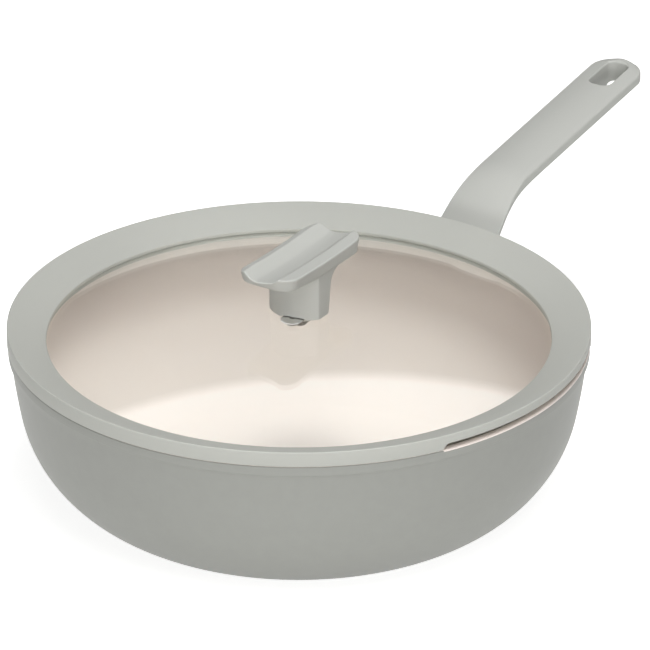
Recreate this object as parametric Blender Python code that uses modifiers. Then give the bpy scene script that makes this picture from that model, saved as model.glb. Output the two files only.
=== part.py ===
"""Covered wok: a deep flat-bottomed pan with a long handle and a domed glass lid in a silicone rim.

Units are metres, +Z is up. The origin is the centre of the base, on the surface the pan stands on.
The handle runs along +X and the lid's two pouring slots face +Y and -Y.
"""
import math

import bmesh
import bpy
from mathutils import Matrix, Vector

MM = 0.001

# Clearances between neighbours
SEAT_GAP = 0.3 * MM          # left wherever two pieces rest on each other
SCREW_CLEARANCE = 0.3 * MM   # round a screw in its thread or its hole
SOCKET_CLEARANCE = 0.4 * MM  # round the bracket's tongue in the handle
SKIRT_CLEARANCE = 1.0 * MM   # between the lid's skirt and the pan's wall
RECESS_CLEARANCE = 0.8 * MM  # round the handle's washer in its recess
VENT_CLEARANCE = 0.5 * MM    # round the vent's eyelet, above and below the glass

# Pan
RIM_RADIUS = 149.5 * MM
PAN_HEIGHT = 90.5 * MM
LIP_HEIGHT = 5.6 * MM
LIP_OVERHANG = 1.3 * MM      # how far the lip stands out past the wall under it
LIP_ROUND = 0.9 * MM
WALL_LEAN_TOP = math.radians(6.0)
WALL_LEAN_LOW = math.radians(10.8)
HEEL_RADIUS = 68.9 * MM      # outside radius of the curve from wall to base
HEEL_LEAN = math.radians(76.6)  # lean of that curve where it meets the base
WALL = 3.6 * MM
FLOOR = 4.5 * MM
BASE_EDGE_BEVEL = 0.8 * MM

# Steel disc let into the underside, for induction hobs
DISC_RADIUS = 75.0 * MM
DISC_THICKNESS = 0.8 * MM
DISC_BEVEL = 0.2 * MM

# Handle: its top line leaves the wall, climbs clear of the lid and runs out to the tip
HANDLE_REACH = 325.2 * MM
ROOT_BELOW_LIP = 4.0 * MM
ROOT_SLOPE = math.radians(10.0)
ROOT_CURVE = 20.0 * MM
RISER_SLOPE = math.radians(40.0)
RISER_LENGTH = 16.1 * MM
BEND_CURVE = 60.0 * MM
GRIP_SLOPE = math.radians(7.9)
ROOT_WIDTH = 38.6 * MM
GRIP_WIDTH = 30.2 * MM
ROOT_DEPTH = 24.0 * MM
GRIP_DEPTH = 15.4 * MM
TIP_DEPTH = 14.6 * MM
ROOT_SIDE = 3.0 * MM         # height of the flat side under the top edge, at the root
GRIP_SIDE = 5.0 * MM         # and along the grip
GRIP_CROWN = 1.5 * MM
GRIP_EDGE = 1.2 * MM
TIP_CORNER = 11.5 * MM
TAPER_LENGTH = 54.0 * MM     # past the rim, where the root's width has become the grip's
DEPTH_START = 18.0 * MM      # past the rim, where the underside starts to rise
SIDE_START = 22.0 * MM       # past the rim, where the flat side starts to grow
SIDE_LENGTH = 30.0 * MM

# Hanging slot near the tip
SLOT_LENGTH = 25.0 * MM
SLOT_WIDTH = 13.0 * MM
SLOT_CORNER = 4.5 * MM
SLOT_FROM_TIP = 4.0 * MM

# Cast bracket welded to the wall, and the screw that holds the handle on it
BRACKET_STANDOFF = 2.0 * MM  # its face past the rim
BRACKET_ROOT_DEPTH = 14.0 * MM  # block it is cut from, measured in from the wall's top
BRACKET_INSET = 3.8 * MM     # inside the handle's root at each side
BRACKET_TOP_INSET = 2.0 * MM
BRACKET_LOW_INSET = 3.0 * MM
BRACKET_CORNER = 3.0 * MM
TONGUE_LENGTH = 14.5 * MM
TONGUE_WIDTH = 14.0 * MM
TONGUE_HEIGHT = 8.0 * MM
TONGUE_CORNER = 1.2 * MM
TONGUE_COVER = 4.0 * MM      # handle material above the tongue
SHELF = 3.2 * MM             # handle material between the tongue and the washer
HANDLE_SCREW_RADIUS = 3.0 * MM
HANDLE_HEAD_RADIUS = 5.0 * MM
HANDLE_HEAD_HEIGHT = 2.8 * MM
HANDLE_HEAD_CROWN = 0.8 * MM
HANDLE_WASHER_MARGIN = 0.4 * MM  # washer past the screw's head
HANDLE_WASHER_THICKNESS = 1.0 * MM

# Lid: silicone rim
LID_OVERHANG = 0.5 * MM      # lid past the pan's rim
BAND_HEIGHT = 8.2 * MM
BAND_EDGE = 0.8 * MM
RIM_TOP_WIDTH = 20.2 * MM
RIM_TOP_FALL = 7.2 * MM      # the top face slopes down towards the glass
RIM_UPPER_LIP = 1.4 * MM
RIM_LOWER_LIP = 1.7 * MM
GLASS_BITE = 7.5 * MM        # how far the rim holds the edge of the glass
SKIRT_DEPTH = 9.8 * MM
SKIRT_TAPER = 1.4 * MM

# Lid: pouring slots, cut up into the band's lower edge
POUR_ANGLE = math.radians(57.0)
POUR_HEIGHT = 3.8 * MM
POUR_ROOF_FALL = 3.4 * MM
POUR_WALL = 3.0 * MM         # silicone left between the slot and the edge of the glass
POUR_OVERRUN = 4.0 * MM      # how far the cut passes the rim's outside and underside
POUR_CUT_STEPS = 18

# Lid: domed glass
GLASS_THICKNESS = 4.0 * MM
DOME_RISE = 15.8 * MM        # from the rim's inner edge to the middle
VENT_X = -11.5 * MM
VENT_Y = -3.5 * MM

# Knob
KNOB_HEIGHT = 31.6 * MM      # from the glass to the middle of its top edges
KNOB_NEAR = 35.0 * MM
KNOB_FAR = 37.5 * MM
KNOB_WIDTH = 33.6 * MM
KNOB_CORNER = 9.4 * MM
KNOB_SAG = 1.4 * MM
KNOB_NEAR_DEPTH = 4.9 * MM   # underside below the middle of the top, near end
KNOB_FAR_DEPTH = 7.6 * MM    # and at the far end
KNOB_EDGE = 0.9 * MM
KNOB_UNDER_EDGE = 2.0 * MM
KNOB_LEFT_ROUND = 2.4 * MM   # the lip on the trough's easy side is rounded over
TROUGH_RIGHT = 8.3 * MM      # flat thumb lip starts this far from the middle
TROUGH_WALL = 3.0 * MM       # width of the steep wall under the thumb lip
TROUGH_DEPTH = 3.0 * MM
POST_HALF_WIDTH = 15.2 * MM
POST_FLAT = 4.6 * MM         # half the length of the post's flat sides
POST_BULGE = 7.3 * MM
POST_LEAN = 1.9 * MM
POST_FLARE = 10.0 * MM
ARCH_HEIGHT = 3.5 * MM       # notch in the post's foot, over the vent
ARCH_MARGIN = 1.1 * MM       # its half width past the eyelet's flange

# Knob fixings, stacked along the lid's axis
KNOB_SCREW_RADIUS = 2.5 * MM
KNOB_HEAD_RADIUS = 4.5 * MM
KNOB_HEAD_HEIGHT = 2.4 * MM
KNOB_HEAD_CROWN = 0.7 * MM
KNOB_SCREW_HOLD = 11.0 * MM  # length of thread inside the insert
INSERT_WALL = 1.5 * MM
INSERT_LENGTH = 14.0 * MM
INSERT_CLOSED_END = 1.5 * MM
INSERT_GROOVE = 0.6 * MM
GASKET_MARGIN = 0.7 * MM     # gasket past the insert
GASKET_THICKNESS = 1.2 * MM
SEAL_THICKNESS = 1.4 * MM
KNOB_WASHER_MARGIN = 2.1 * MM  # steel washer past the screw's head
KNOB_WASHER_THICKNESS = 0.9 * MM
GLASS_HOLE_MARGIN = 0.7 * MM  # hole in the glass past the screw

# Cross recesses and tips of both screws
SCREW_TIP_BEVEL = 0.5 * MM
CROSS_REACH = 0.5            # half the recess, as a share of the head's radius
CROSS_BLADE = 0.5 * MM
CROSS_DEPTH = 1.3 * MM

# Vent eyelet
EYELET_BARREL = 2.7 * MM
EYELET_WALL = 0.6 * MM
EYELET_FLANGE = 5.0 * MM
EYELET_CURL = 4.0 * MM
EYELET_FOLD = 0.8 * MM       # thickness of the rolled flanges
VENT_HOLE_MARGIN = 0.3 * MM  # hole in the glass past the eyelet's barrel

# Smoothness: steps round the pan and round small pieces, then along each curve
BIG_STEPS = 72
SMALL_STEPS = 24
LIP_STEPS = 2
SWEEP_STEPS = 2
HEEL_STEPS = 7
ROOT_STEPS = 4
BEND_STEPS = 7
GRIP_STEPS = 6
TIP_STEPS = 6
CROWN_STEPS = 5
BELLY_STEPS = 8
SLOT_STEPS = 5
DOME_STEPS = 6
BAND_STEPS = 3
PLATE_STEPS = 12
TROUGH_STEPS = 5
CORNER_STEPS = 6
BOW_STEPS = 8
FLARE_TURNS = (25.0, 50.0, 70.0, 85.0)  # degrees round the post's flare
SHARP_ANGLE = math.radians(35.0)
WELD = 0.01 * MM

# Heights and radii that several pieces share
LIP_UNDERSIDE = PAN_HEIGHT - LIP_HEIGHT
WALL_TOP_RADIUS = RIM_RADIUS - LIP_OVERHANG
LID_RADIUS = RIM_RADIUS + LID_OVERHANG
LID_SEAT = PAN_HEIGHT + SEAT_GAP
LID_TOP = LID_SEAT + BAND_HEIGHT
RIM_INNER_RADIUS = LID_RADIUS - RIM_TOP_WIDTH
GROOVE_END = RIM_INNER_RADIUS + GLASS_BITE
GLASS_EDGE_TOP = LID_TOP - RIM_TOP_FALL - RIM_UPPER_LIP - SEAT_GAP
DOME_RADIUS = (RIM_INNER_RADIUS ** 2 + DOME_RISE ** 2) / (2 * DOME_RISE)
GLASS_TOP = GLASS_EDGE_TOP + DOME_RISE
GLASS_BOTTOM = GLASS_TOP - GLASS_THICKNESS
KNOB_FOOT = GLASS_TOP + SEAT_GAP
KNOB_TOP = KNOB_FOOT + KNOB_HEIGHT
INSERT_LOW = KNOB_FOOT + GASKET_THICKNESS + 2 * SEAT_GAP
INSERT_RADIUS = KNOB_SCREW_RADIUS + INSERT_WALL
GASKET_RADIUS = INSERT_RADIUS + GASKET_MARGIN
SEAL_RADIUS = math.hypot(VENT_X, VENT_Y) - EYELET_CURL - VENT_CLEARANCE
BRACKET_FACE = RIM_RADIUS + BRACKET_STANDOFF
ROOT_TOP = LIP_UNDERSIDE - ROOT_BELOW_LIP
TONGUE_TOP = ROOT_TOP - TONGUE_COVER
TONGUE_BOTTOM = TONGUE_TOP - TONGUE_HEIGHT
HANDLE_WASHER_TOP = TONGUE_BOTTOM - SOCKET_CLEARANCE - SHELF - SEAT_GAP
HANDLE_WASHER_RADIUS = HANDLE_HEAD_RADIUS + HANDLE_WASHER_MARGIN
HANDLE_SCREW_X = BRACKET_FACE + TONGUE_LENGTH / 2

# Finishes: base colour (linear), roughness, metallic
COATED_GREY = ((0.38, 0.38, 0.36, 1.0), 0.5, 0.0)
HANDLE_GREY = ((0.55, 0.56, 0.53, 1.0), 0.5, 0.0)
SILICONE_GREY = ((0.50, 0.51, 0.48, 1.0), 0.6, 0.0)
GLASS_CLEAR = ((0.86, 0.90, 0.89, 0.35), 0.03, 0.0)
STEEL = ((0.60, 0.60, 0.60, 1.0), 0.3, 1.0)
BRASS = ((0.78, 0.60, 0.28, 1.0), 0.35, 1.0)
ALUMINIUM = ((0.72, 0.72, 0.73, 1.0), 0.45, 1.0)


def clear_scene():
    """Remove the objects of the scene that Blender starts with."""
    for obj in list(bpy.data.objects):
        bpy.data.objects.remove(obj, do_unlink=True)


def new_collection(name):
    """Make a collection under the scene's own."""
    collection = bpy.data.collections.new(name)
    bpy.context.scene.collection.children.link(collection)
    return collection


def finish(name, recipe):
    """Return the named material, made on first use."""
    material = bpy.data.materials.get(name)
    if material is None:
        colour, roughness, metallic = recipe
        material = bpy.data.materials.new(name)
        material.use_nodes = True
        shader = material.node_tree.nodes["Principled BSDF"]
        shader.inputs["Base Color"].default_value = colour
        shader.inputs["Roughness"].default_value = roughness
        shader.inputs["Metallic"].default_value = metallic
        material.diffuse_color = colour
    return material


def add_object(name, mesh, collection, material=None):
    """Put a mesh in the scene as a named object, smooth except at sharp edges."""
    obj = bpy.data.objects.new(name, mesh)
    collection.objects.link(obj)
    if material is not None:
        mesh.materials.append(material)
    mesh.shade_smooth()
    mesh.set_sharp_from_angle(angle=SHARP_ANGLE)
    return obj


def as_guide(obj):
    """Mark an object as a cutter, which shapes the parts and is not one itself."""
    obj.hide_render = True
    obj.display_type = "WIRE"
    return obj


def arc(centre, radius, start, end, steps, skip_first=False):
    """Points on an arc in a flat outline, from one angle to another, in radians."""
    first = 1 if skip_first else 0
    points = []
    for step in range(first, steps + 1):
        angle = start + (end - start) * step / steps
        points.append((centre[0] + radius * math.cos(angle), centre[1] + radius * math.sin(angle)))
    return points


def turned(name, profile, steps, collection, material=None, closed=True):
    """Turn an outline of (radius, height) points about Z with a Screw modifier.

    A closed outline is a ring's section. An open one starts and ends on the axis.
    """
    mesh = bpy.data.meshes.new(name)
    across = [(radius, 0.0, height) for radius, height in profile]
    edges = [(i, i + 1) for i in range(len(profile) - 1)]
    if closed:
        edges.append((len(profile) - 1, 0))
    mesh.from_pydata(across, edges, [])
    obj = add_object(name, mesh, collection, material)
    screw = obj.modifiers.new("Turn", "SCREW")
    screw.axis = "Z"
    screw.angle = math.tau
    screw.steps = steps
    screw.render_steps = steps
    screw.use_merge_vertices = True
    screw.merge_threshold = WELD
    screw.use_smooth_shade = True
    return obj


def washer_ring(name, outer, inner, low, thickness, parts, material):
    """A flat ring about Z."""
    high = low + thickness
    profile = [(inner, high), (outer, high), (outer, low), (inner, low)]
    return turned(name, profile, SMALL_STEPS, parts, material)


def loft(name, rings, collection, material=None):
    """Skin a run of closed rings, each with the same number of points, and cap both ends."""
    build = bmesh.new()
    rows = [[build.verts.new(point) for point in ring] for ring in rings]
    count = len(rings[0])
    for near, far in zip(rows, rows[1:]):
        for i in range(count):
            j = (i + 1) % count
            build.faces.new((near[i], near[j], far[j], far[i]))
    build.faces.new(rows[0])
    build.faces.new(list(reversed(rows[-1])))
    bmesh.ops.recalc_face_normals(build, faces=build.faces)
    mesh = bpy.data.meshes.new(name)
    build.to_mesh(mesh)
    build.free()
    return add_object(name, mesh, collection, material)


def block(name, low, high, collection, material=None, bevel=0.0, axis=None, segments=4):
    """A box between two corners; bevel rounds every edge, or only those along one axis."""
    build = bmesh.new()
    size = Vector(high) - Vector(low)
    middle = (Vector(high) + Vector(low)) / 2
    bmesh.ops.create_cube(build, size=1.0)
    bmesh.ops.scale(build, vec=size, verts=build.verts)
    if bevel > 0.0:
        chosen = []
        for edge in build.edges:
            run = (edge.verts[1].co - edge.verts[0].co).normalized()
            if axis is None or abs(run["XYZ".index(axis)]) > 0.9:
                chosen.append(edge)
        bmesh.ops.bevel(build, geom=chosen, offset=bevel, segments=segments, profile=0.5, affect="EDGES")
    bmesh.ops.translate(build, vec=middle, verts=build.verts)
    mesh = bpy.data.meshes.new(name)
    build.to_mesh(mesh)
    build.free()
    return add_object(name, mesh, collection, material)


def rod(name, radius, low, high, steps, collection):
    """A plain cylinder between two points."""
    start = Vector(low)
    run = Vector(high) - start
    build = bmesh.new()
    bmesh.ops.create_cone(
        build, cap_ends=True, segments=steps, radius1=radius, radius2=radius, depth=run.length)
    turn = run.to_track_quat("Z", "Y").to_matrix().to_4x4()
    bmesh.ops.transform(build, matrix=Matrix.Translation(start + run / 2) @ turn, verts=build.verts)
    mesh = bpy.data.meshes.new(name)
    build.to_mesh(mesh)
    build.free()
    return add_object(name, mesh, collection)


def boolean(obj, other, operation="DIFFERENCE"):
    """Cut or join one object with another, leaving the modifier live."""
    modifier = obj.modifiers.new(operation.title(), "BOOLEAN")
    modifier.operation = operation
    modifier.object = other
    modifier.solver = "EXACT"


def smooth_step(value):
    """Ease from 0 to 1, level at both ends."""
    value = min(max(value, 0.0), 1.0)
    return value * value * (3.0 - 2.0 * value)


def wall_outline(inset, floor_height):
    """The pan's wall from the lip's underside down to a level, inset from its outside face."""
    top = (WALL_TOP_RADIUS, LIP_UNDERSIDE)
    heel_top = HEEL_RADIUS * (math.sin(HEEL_LEAN) - math.sin(WALL_LEAN_LOW))
    sweep = (LIP_UNDERSIDE - heel_top) / (math.sin(WALL_LEAN_LOW) - math.sin(WALL_LEAN_TOP))
    sweep_centre = (top[0] - sweep * math.cos(WALL_LEAN_TOP), top[1] + sweep * math.sin(WALL_LEAN_TOP))
    points = arc(sweep_centre, sweep - inset, -WALL_LEAN_TOP, -WALL_LEAN_LOW, SWEEP_STEPS)
    turn = (sweep_centre[0] + sweep * math.cos(WALL_LEAN_LOW),
            sweep_centre[1] - sweep * math.sin(WALL_LEAN_LOW))
    heel_centre = (turn[0] - HEEL_RADIUS * math.cos(WALL_LEAN_LOW),
                   turn[1] + HEEL_RADIUS * math.sin(WALL_LEAN_LOW))
    radius = HEEL_RADIUS - inset
    low = math.asin(min((heel_centre[1] - floor_height) / radius, 1.0))
    points += arc(heel_centre, radius, -WALL_LEAN_LOW, -low, HEEL_STEPS, skip_first=True)
    return points


def make_pan_body(parts):
    """Cast aluminium pan: lip, leaning wall, curved heel, flat base with a recess for the disc."""
    outside = wall_outline(0.0, 0.0)
    inside = wall_outline(WALL, FLOOR)
    inner_top = inside[0][0] + LIP_HEIGHT * math.tan(WALL_LEAN_TOP)
    recess_radius = DISC_RADIUS + SEAT_GAP
    recess_height = DISC_THICKNESS + SEAT_GAP
    profile = [(inner_top + LIP_ROUND, PAN_HEIGHT)]
    profile += arc((RIM_RADIUS - LIP_ROUND, PAN_HEIGHT - LIP_ROUND), LIP_ROUND, math.pi / 2, 0.0, LIP_STEPS)
    profile += [(RIM_RADIUS, LIP_UNDERSIDE + LIP_ROUND), (RIM_RADIUS - LIP_ROUND, LIP_UNDERSIDE)]
    profile += outside[:-1]
    profile += [(outside[-1][0], BASE_EDGE_BEVEL), (outside[-1][0] - BASE_EDGE_BEVEL, 0.0)]
    profile += [(recess_radius, 0.0), (recess_radius, recess_height), (0.0, recess_height)]
    profile += [(0.0, FLOOR)]
    profile += list(reversed(inside))
    profile += [(inner_top, PAN_HEIGHT - LIP_ROUND)]
    return turned("pan_body", profile, BIG_STEPS, parts, finish("coated_grey", COATED_GREY))


def make_induction_disc(parts):
    """Thin magnetic steel disc, flush with the base."""
    profile = [
        (0.0, DISC_THICKNESS), (DISC_RADIUS - DISC_BEVEL, DISC_THICKNESS),
        (DISC_RADIUS, DISC_THICKNESS - DISC_BEVEL), (DISC_RADIUS, DISC_BEVEL),
        (DISC_RADIUS - DISC_BEVEL, 0.0), (0.0, 0.0)]
    return turned("induction_disc", profile, BIG_STEPS, parts, finish("steel", STEEL), closed=False)


def wall_keeper(cutters, clearance, name):
    """A solid that fills the pan's outside, to shape what is fastened to the wall."""
    profile = [(0.0, LIP_UNDERSIDE)]
    profile += wall_outline(-clearance, 0.0)
    profile += [(0.0, 0.0)]
    return as_guide(turned(name, profile, BIG_STEPS * 2, cutters, closed=False))


def make_handle_bracket(parts, cutters):
    """Cast bracket: a pad that hugs the wall and a tongue that enters the handle."""
    half = ROOT_WIDTH / 2 - BRACKET_INSET
    pad = block(
        "handle_bracket",
        (WALL_TOP_RADIUS - BRACKET_ROOT_DEPTH, -half, ROOT_TOP - ROOT_DEPTH + BRACKET_LOW_INSET),
        (BRACKET_FACE, half, ROOT_TOP - BRACKET_TOP_INSET),
        parts, finish("aluminium", ALUMINIUM), bevel=BRACKET_CORNER, axis="X")
    tongue = block(
        "bracket_tongue",
        (WALL_TOP_RADIUS, -TONGUE_WIDTH / 2, TONGUE_BOTTOM),
        (BRACKET_FACE + TONGUE_LENGTH, TONGUE_WIDTH / 2, TONGUE_TOP),
        cutters, bevel=TONGUE_CORNER, axis="X", segments=2)
    hole = rod(
        "bracket_hole", HANDLE_SCREW_RADIUS + SCREW_CLEARANCE,
        (HANDLE_SCREW_X, 0.0, TONGUE_BOTTOM - TONGUE_HEIGHT),
        (HANDLE_SCREW_X, 0.0, TONGUE_TOP + TONGUE_HEIGHT), SMALL_STEPS, cutters)
    boolean(pad, as_guide(tongue), "UNION")
    boolean(pad, wall_keeper(cutters, SEAT_GAP, "bracket_wall_side"))
    boolean(pad, as_guide(hole))
    return pad


def handle_top_line():
    """Points (x, z) along the middle of the handle's top, from inside the wall to the tip."""
    start_x = WALL_TOP_RADIUS - BRACKET_ROOT_DEPTH
    x, z = BRACKET_FACE, ROOT_TOP
    points = [(start_x, z - (x - start_x) * math.tan(ROOT_SLOPE)), (x, z)]
    centre = (x - ROOT_CURVE * math.sin(ROOT_SLOPE), z + ROOT_CURVE * math.cos(ROOT_SLOPE))
    points += arc(
        centre, ROOT_CURVE, ROOT_SLOPE - math.pi / 2, RISER_SLOPE - math.pi / 2, ROOT_STEPS, skip_first=True)
    x, z = points[-1]
    x += RISER_LENGTH * math.cos(RISER_SLOPE)
    z += RISER_LENGTH * math.sin(RISER_SLOPE)
    points.append((x, z))
    centre = (x + BEND_CURVE * math.sin(RISER_SLOPE), z - BEND_CURVE * math.cos(RISER_SLOPE))
    points += arc(
        centre, BEND_CURVE, RISER_SLOPE + math.pi / 2, GRIP_SLOPE + math.pi / 2, BEND_STEPS, skip_first=True)
    x, z = points[-1]
    corner_start = HANDLE_REACH - TIP_CORNER
    stations = [x + (corner_start - x) * step / GRIP_STEPS for step in range(1, GRIP_STEPS + 1)]
    for step in range(1, TIP_STEPS + 1):
        stations.append(corner_start + TIP_CORNER * math.sin(math.pi / 2 * step / TIP_STEPS))
    points += [(station, z + (station - x) * math.tan(GRIP_SLOPE)) for station in stations]
    return points


def handle_half_width(x):
    """Half the handle's width: wide at the root, even along the grip, rounded at the tip."""
    blend = smooth_step((RIM_RADIUS + TAPER_LENGTH - x) / TAPER_LENGTH)
    half = (GRIP_WIDTH + (ROOT_WIDTH - GRIP_WIDTH) * blend) / 2
    past = max(x - (HANDLE_REACH - TIP_CORNER), 0.0)
    return half - TIP_CORNER + math.sqrt(max(TIP_CORNER ** 2 - past ** 2, 0.0))


def handle_belly(x):
    """How far the rounded underside hangs below the flat sides, in the middle."""
    start = RIM_RADIUS + DEPTH_START
    to_grip = smooth_step((x - start) / TAPER_LENGTH)
    to_tip = smooth_step((x - start) / (HANDLE_REACH - start))
    depth = ROOT_DEPTH + (GRIP_DEPTH - ROOT_DEPTH) * to_grip + (TIP_DEPTH - GRIP_DEPTH) * to_tip
    tuck = min(handle_half_width(x) / (GRIP_WIDTH / 2), 1.0)
    return (depth - handle_side(x)) * tuck


def handle_side(x):
    """Height of the handle's flat side, which is lower on the riser."""
    grown = smooth_step((x - RIM_RADIUS - SIDE_START) / SIDE_LENGTH)
    return ROOT_SIDE + (GRIP_SIDE - ROOT_SIDE) * grown


def handle_ring(x, z):
    """One upright section of the handle: crowned top, flat sides, underside tucked in below them."""
    half = handle_half_width(x)
    side = handle_side(x)
    ring = []
    for step in range(CROWN_STEPS + 1):
        share = 2 * step / CROWN_STEPS - 1.0
        ring.append((x, share * (half - GRIP_EDGE), z + GRIP_CROWN * (1.0 - share ** 2)))
    ring.append((x, half, z - GRIP_EDGE))
    for step in range(BELLY_STEPS + 1):
        share = 1.0 - 2 * step / BELLY_STEPS
        drop = side + handle_belly(x) * math.cos(share * math.pi / 2)
        ring.append((x, share * half, z - drop))
    ring.append((x, -half, z - GRIP_EDGE))
    return ring


def make_handle_grip(parts, cutters):
    """Moulded handle with the bracket's pocket, the screw's recess and the hanging slot."""
    line = handle_top_line()
    grip = loft(
        "handle_grip", [handle_ring(x, z) for x, z in line], parts, finish("handle_grey", HANDLE_GREY))
    trim = block(
        "handle_root_trim",
        (0.0, -ROOT_WIDTH, 0.0), (BRACKET_FACE + SEAT_GAP, ROOT_WIDTH, PAN_HEIGHT), cutters)
    pocket = block(
        "handle_pocket",
        (BRACKET_FACE - TONGUE_LENGTH, -TONGUE_WIDTH / 2 - SOCKET_CLEARANCE, TONGUE_BOTTOM - SOCKET_CLEARANCE),
        (BRACKET_FACE + TONGUE_LENGTH + SOCKET_CLEARANCE,
         TONGUE_WIDTH / 2 + SOCKET_CLEARANCE, TONGUE_TOP + SOCKET_CLEARANCE), cutters)
    screw_way = rod(
        "handle_screw_way", HANDLE_SCREW_RADIUS + SCREW_CLEARANCE,
        (HANDLE_SCREW_X, 0.0, 0.0), (HANDLE_SCREW_X, 0.0, TONGUE_BOTTOM + SEAT_GAP), SMALL_STEPS, cutters)
    recess = rod(
        "handle_screw_recess", HANDLE_WASHER_RADIUS + RECESS_CLEARANCE,
        (HANDLE_SCREW_X, 0.0, 0.0), (HANDLE_SCREW_X, 0.0, HANDLE_WASHER_TOP + SEAT_GAP), SMALL_STEPS, cutters)
    slot_middle_x = HANDLE_REACH - SLOT_FROM_TIP - SLOT_LENGTH / 2
    slot_middle_z = line[-1][1] - (HANDLE_REACH - slot_middle_x) * math.tan(GRIP_SLOPE)
    slot = block(
        "handle_slot",
        (-SLOT_LENGTH / 2, -SLOT_WIDTH / 2, -2 * TIP_DEPTH), (SLOT_LENGTH / 2, SLOT_WIDTH / 2, TIP_DEPTH),
        cutters, bevel=SLOT_CORNER, axis="Z", segments=SLOT_STEPS)
    slot.location = (slot_middle_x, 0.0, slot_middle_z)
    slot.rotation_euler = (0.0, -GRIP_SLOPE, 0.0)
    for cutter in (trim, pocket, screw_way, recess, slot):
        boolean(grip, as_guide(cutter))
    return grip


def make_handle_washer(parts):
    """Flat washer under the handle screw's head."""
    inner = HANDLE_SCREW_RADIUS + SCREW_CLEARANCE
    washer = washer_ring(
        "handle_washer", HANDLE_WASHER_RADIUS, inner, HANDLE_WASHER_TOP - HANDLE_WASHER_THICKNESS,
        HANDLE_WASHER_THICKNESS, parts, finish("steel", STEEL))
    washer.location = (HANDLE_SCREW_X, 0.0, 0.0)
    return washer


def make_screw(name, shank, head, head_height, crown, head_top, tip, parts, cutters):
    """A cross-recessed screw on Z, head below and tip up, from the underside of its head to its tip."""
    face = head_top - head_height
    profile = [
        (0.0, tip), (shank - SCREW_TIP_BEVEL, tip), (shank, tip - SCREW_TIP_BEVEL), (shank, head_top),
        (head, head_top), (head, face + crown), (head - crown, face), (0.0, face)]
    screw = turned(name, profile, SMALL_STEPS, parts, finish("steel", STEEL), closed=False)
    reach = head * CROSS_REACH
    for index, (dx, dy) in enumerate(((reach, CROSS_BLADE), (CROSS_BLADE, reach))):
        arm = block(
            "%s_recess_%d" % (name, index), (-dx, -dy, face - CROSS_DEPTH), (dx, dy, face + CROSS_DEPTH),
            cutters)
        arm.parent = screw
        boolean(screw, as_guide(arm))
    return screw


def make_handle_screw(parts, cutters):
    """Screw that comes up through the handle into the bracket's tongue."""
    head_top = HANDLE_WASHER_TOP - HANDLE_WASHER_THICKNESS - SEAT_GAP
    screw = make_screw(
        "handle_screw", HANDLE_SCREW_RADIUS, HANDLE_HEAD_RADIUS, HANDLE_HEAD_HEIGHT, HANDLE_HEAD_CROWN,
        head_top, TONGUE_TOP - SEAT_GAP, parts, cutters)
    screw.location = (HANDLE_SCREW_X, 0.0, 0.0)
    return screw


def dome_height(radius, below=0.0):
    """Height of the glass at a radius; below measures in from its top face along the dome's radius."""
    ball = DOME_RADIUS - below
    return GLASS_TOP - DOME_RADIUS + math.sqrt(ball ** 2 - radius ** 2)


def make_lid_glass(parts, cutters):
    """Domed toughened glass with a hole for the knob's screw and one for the vent."""
    hole = KNOB_SCREW_RADIUS + GLASS_HOLE_MARGIN
    width = GROOVE_END - SEAT_GAP - hole
    radii = [hole + width * step / DOME_STEPS for step in range(DOME_STEPS + 1)]
    profile = [(radius, dome_height(radius)) for radius in radii]
    profile += [(radius, dome_height(radius, GLASS_THICKNESS)) for radius in reversed(radii)]
    glass = turned("lid_glass", profile, BIG_STEPS, parts, finish("clear_glass", GLASS_CLEAR))
    vent = rod(
        "vent_hole", EYELET_BARREL + VENT_HOLE_MARGIN, (VENT_X, VENT_Y, GLASS_BOTTOM - GLASS_THICKNESS),
        (VENT_X, VENT_Y, GLASS_TOP + GLASS_THICKNESS), SMALL_STEPS, cutters)
    boolean(glass, as_guide(vent))
    return glass


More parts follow.
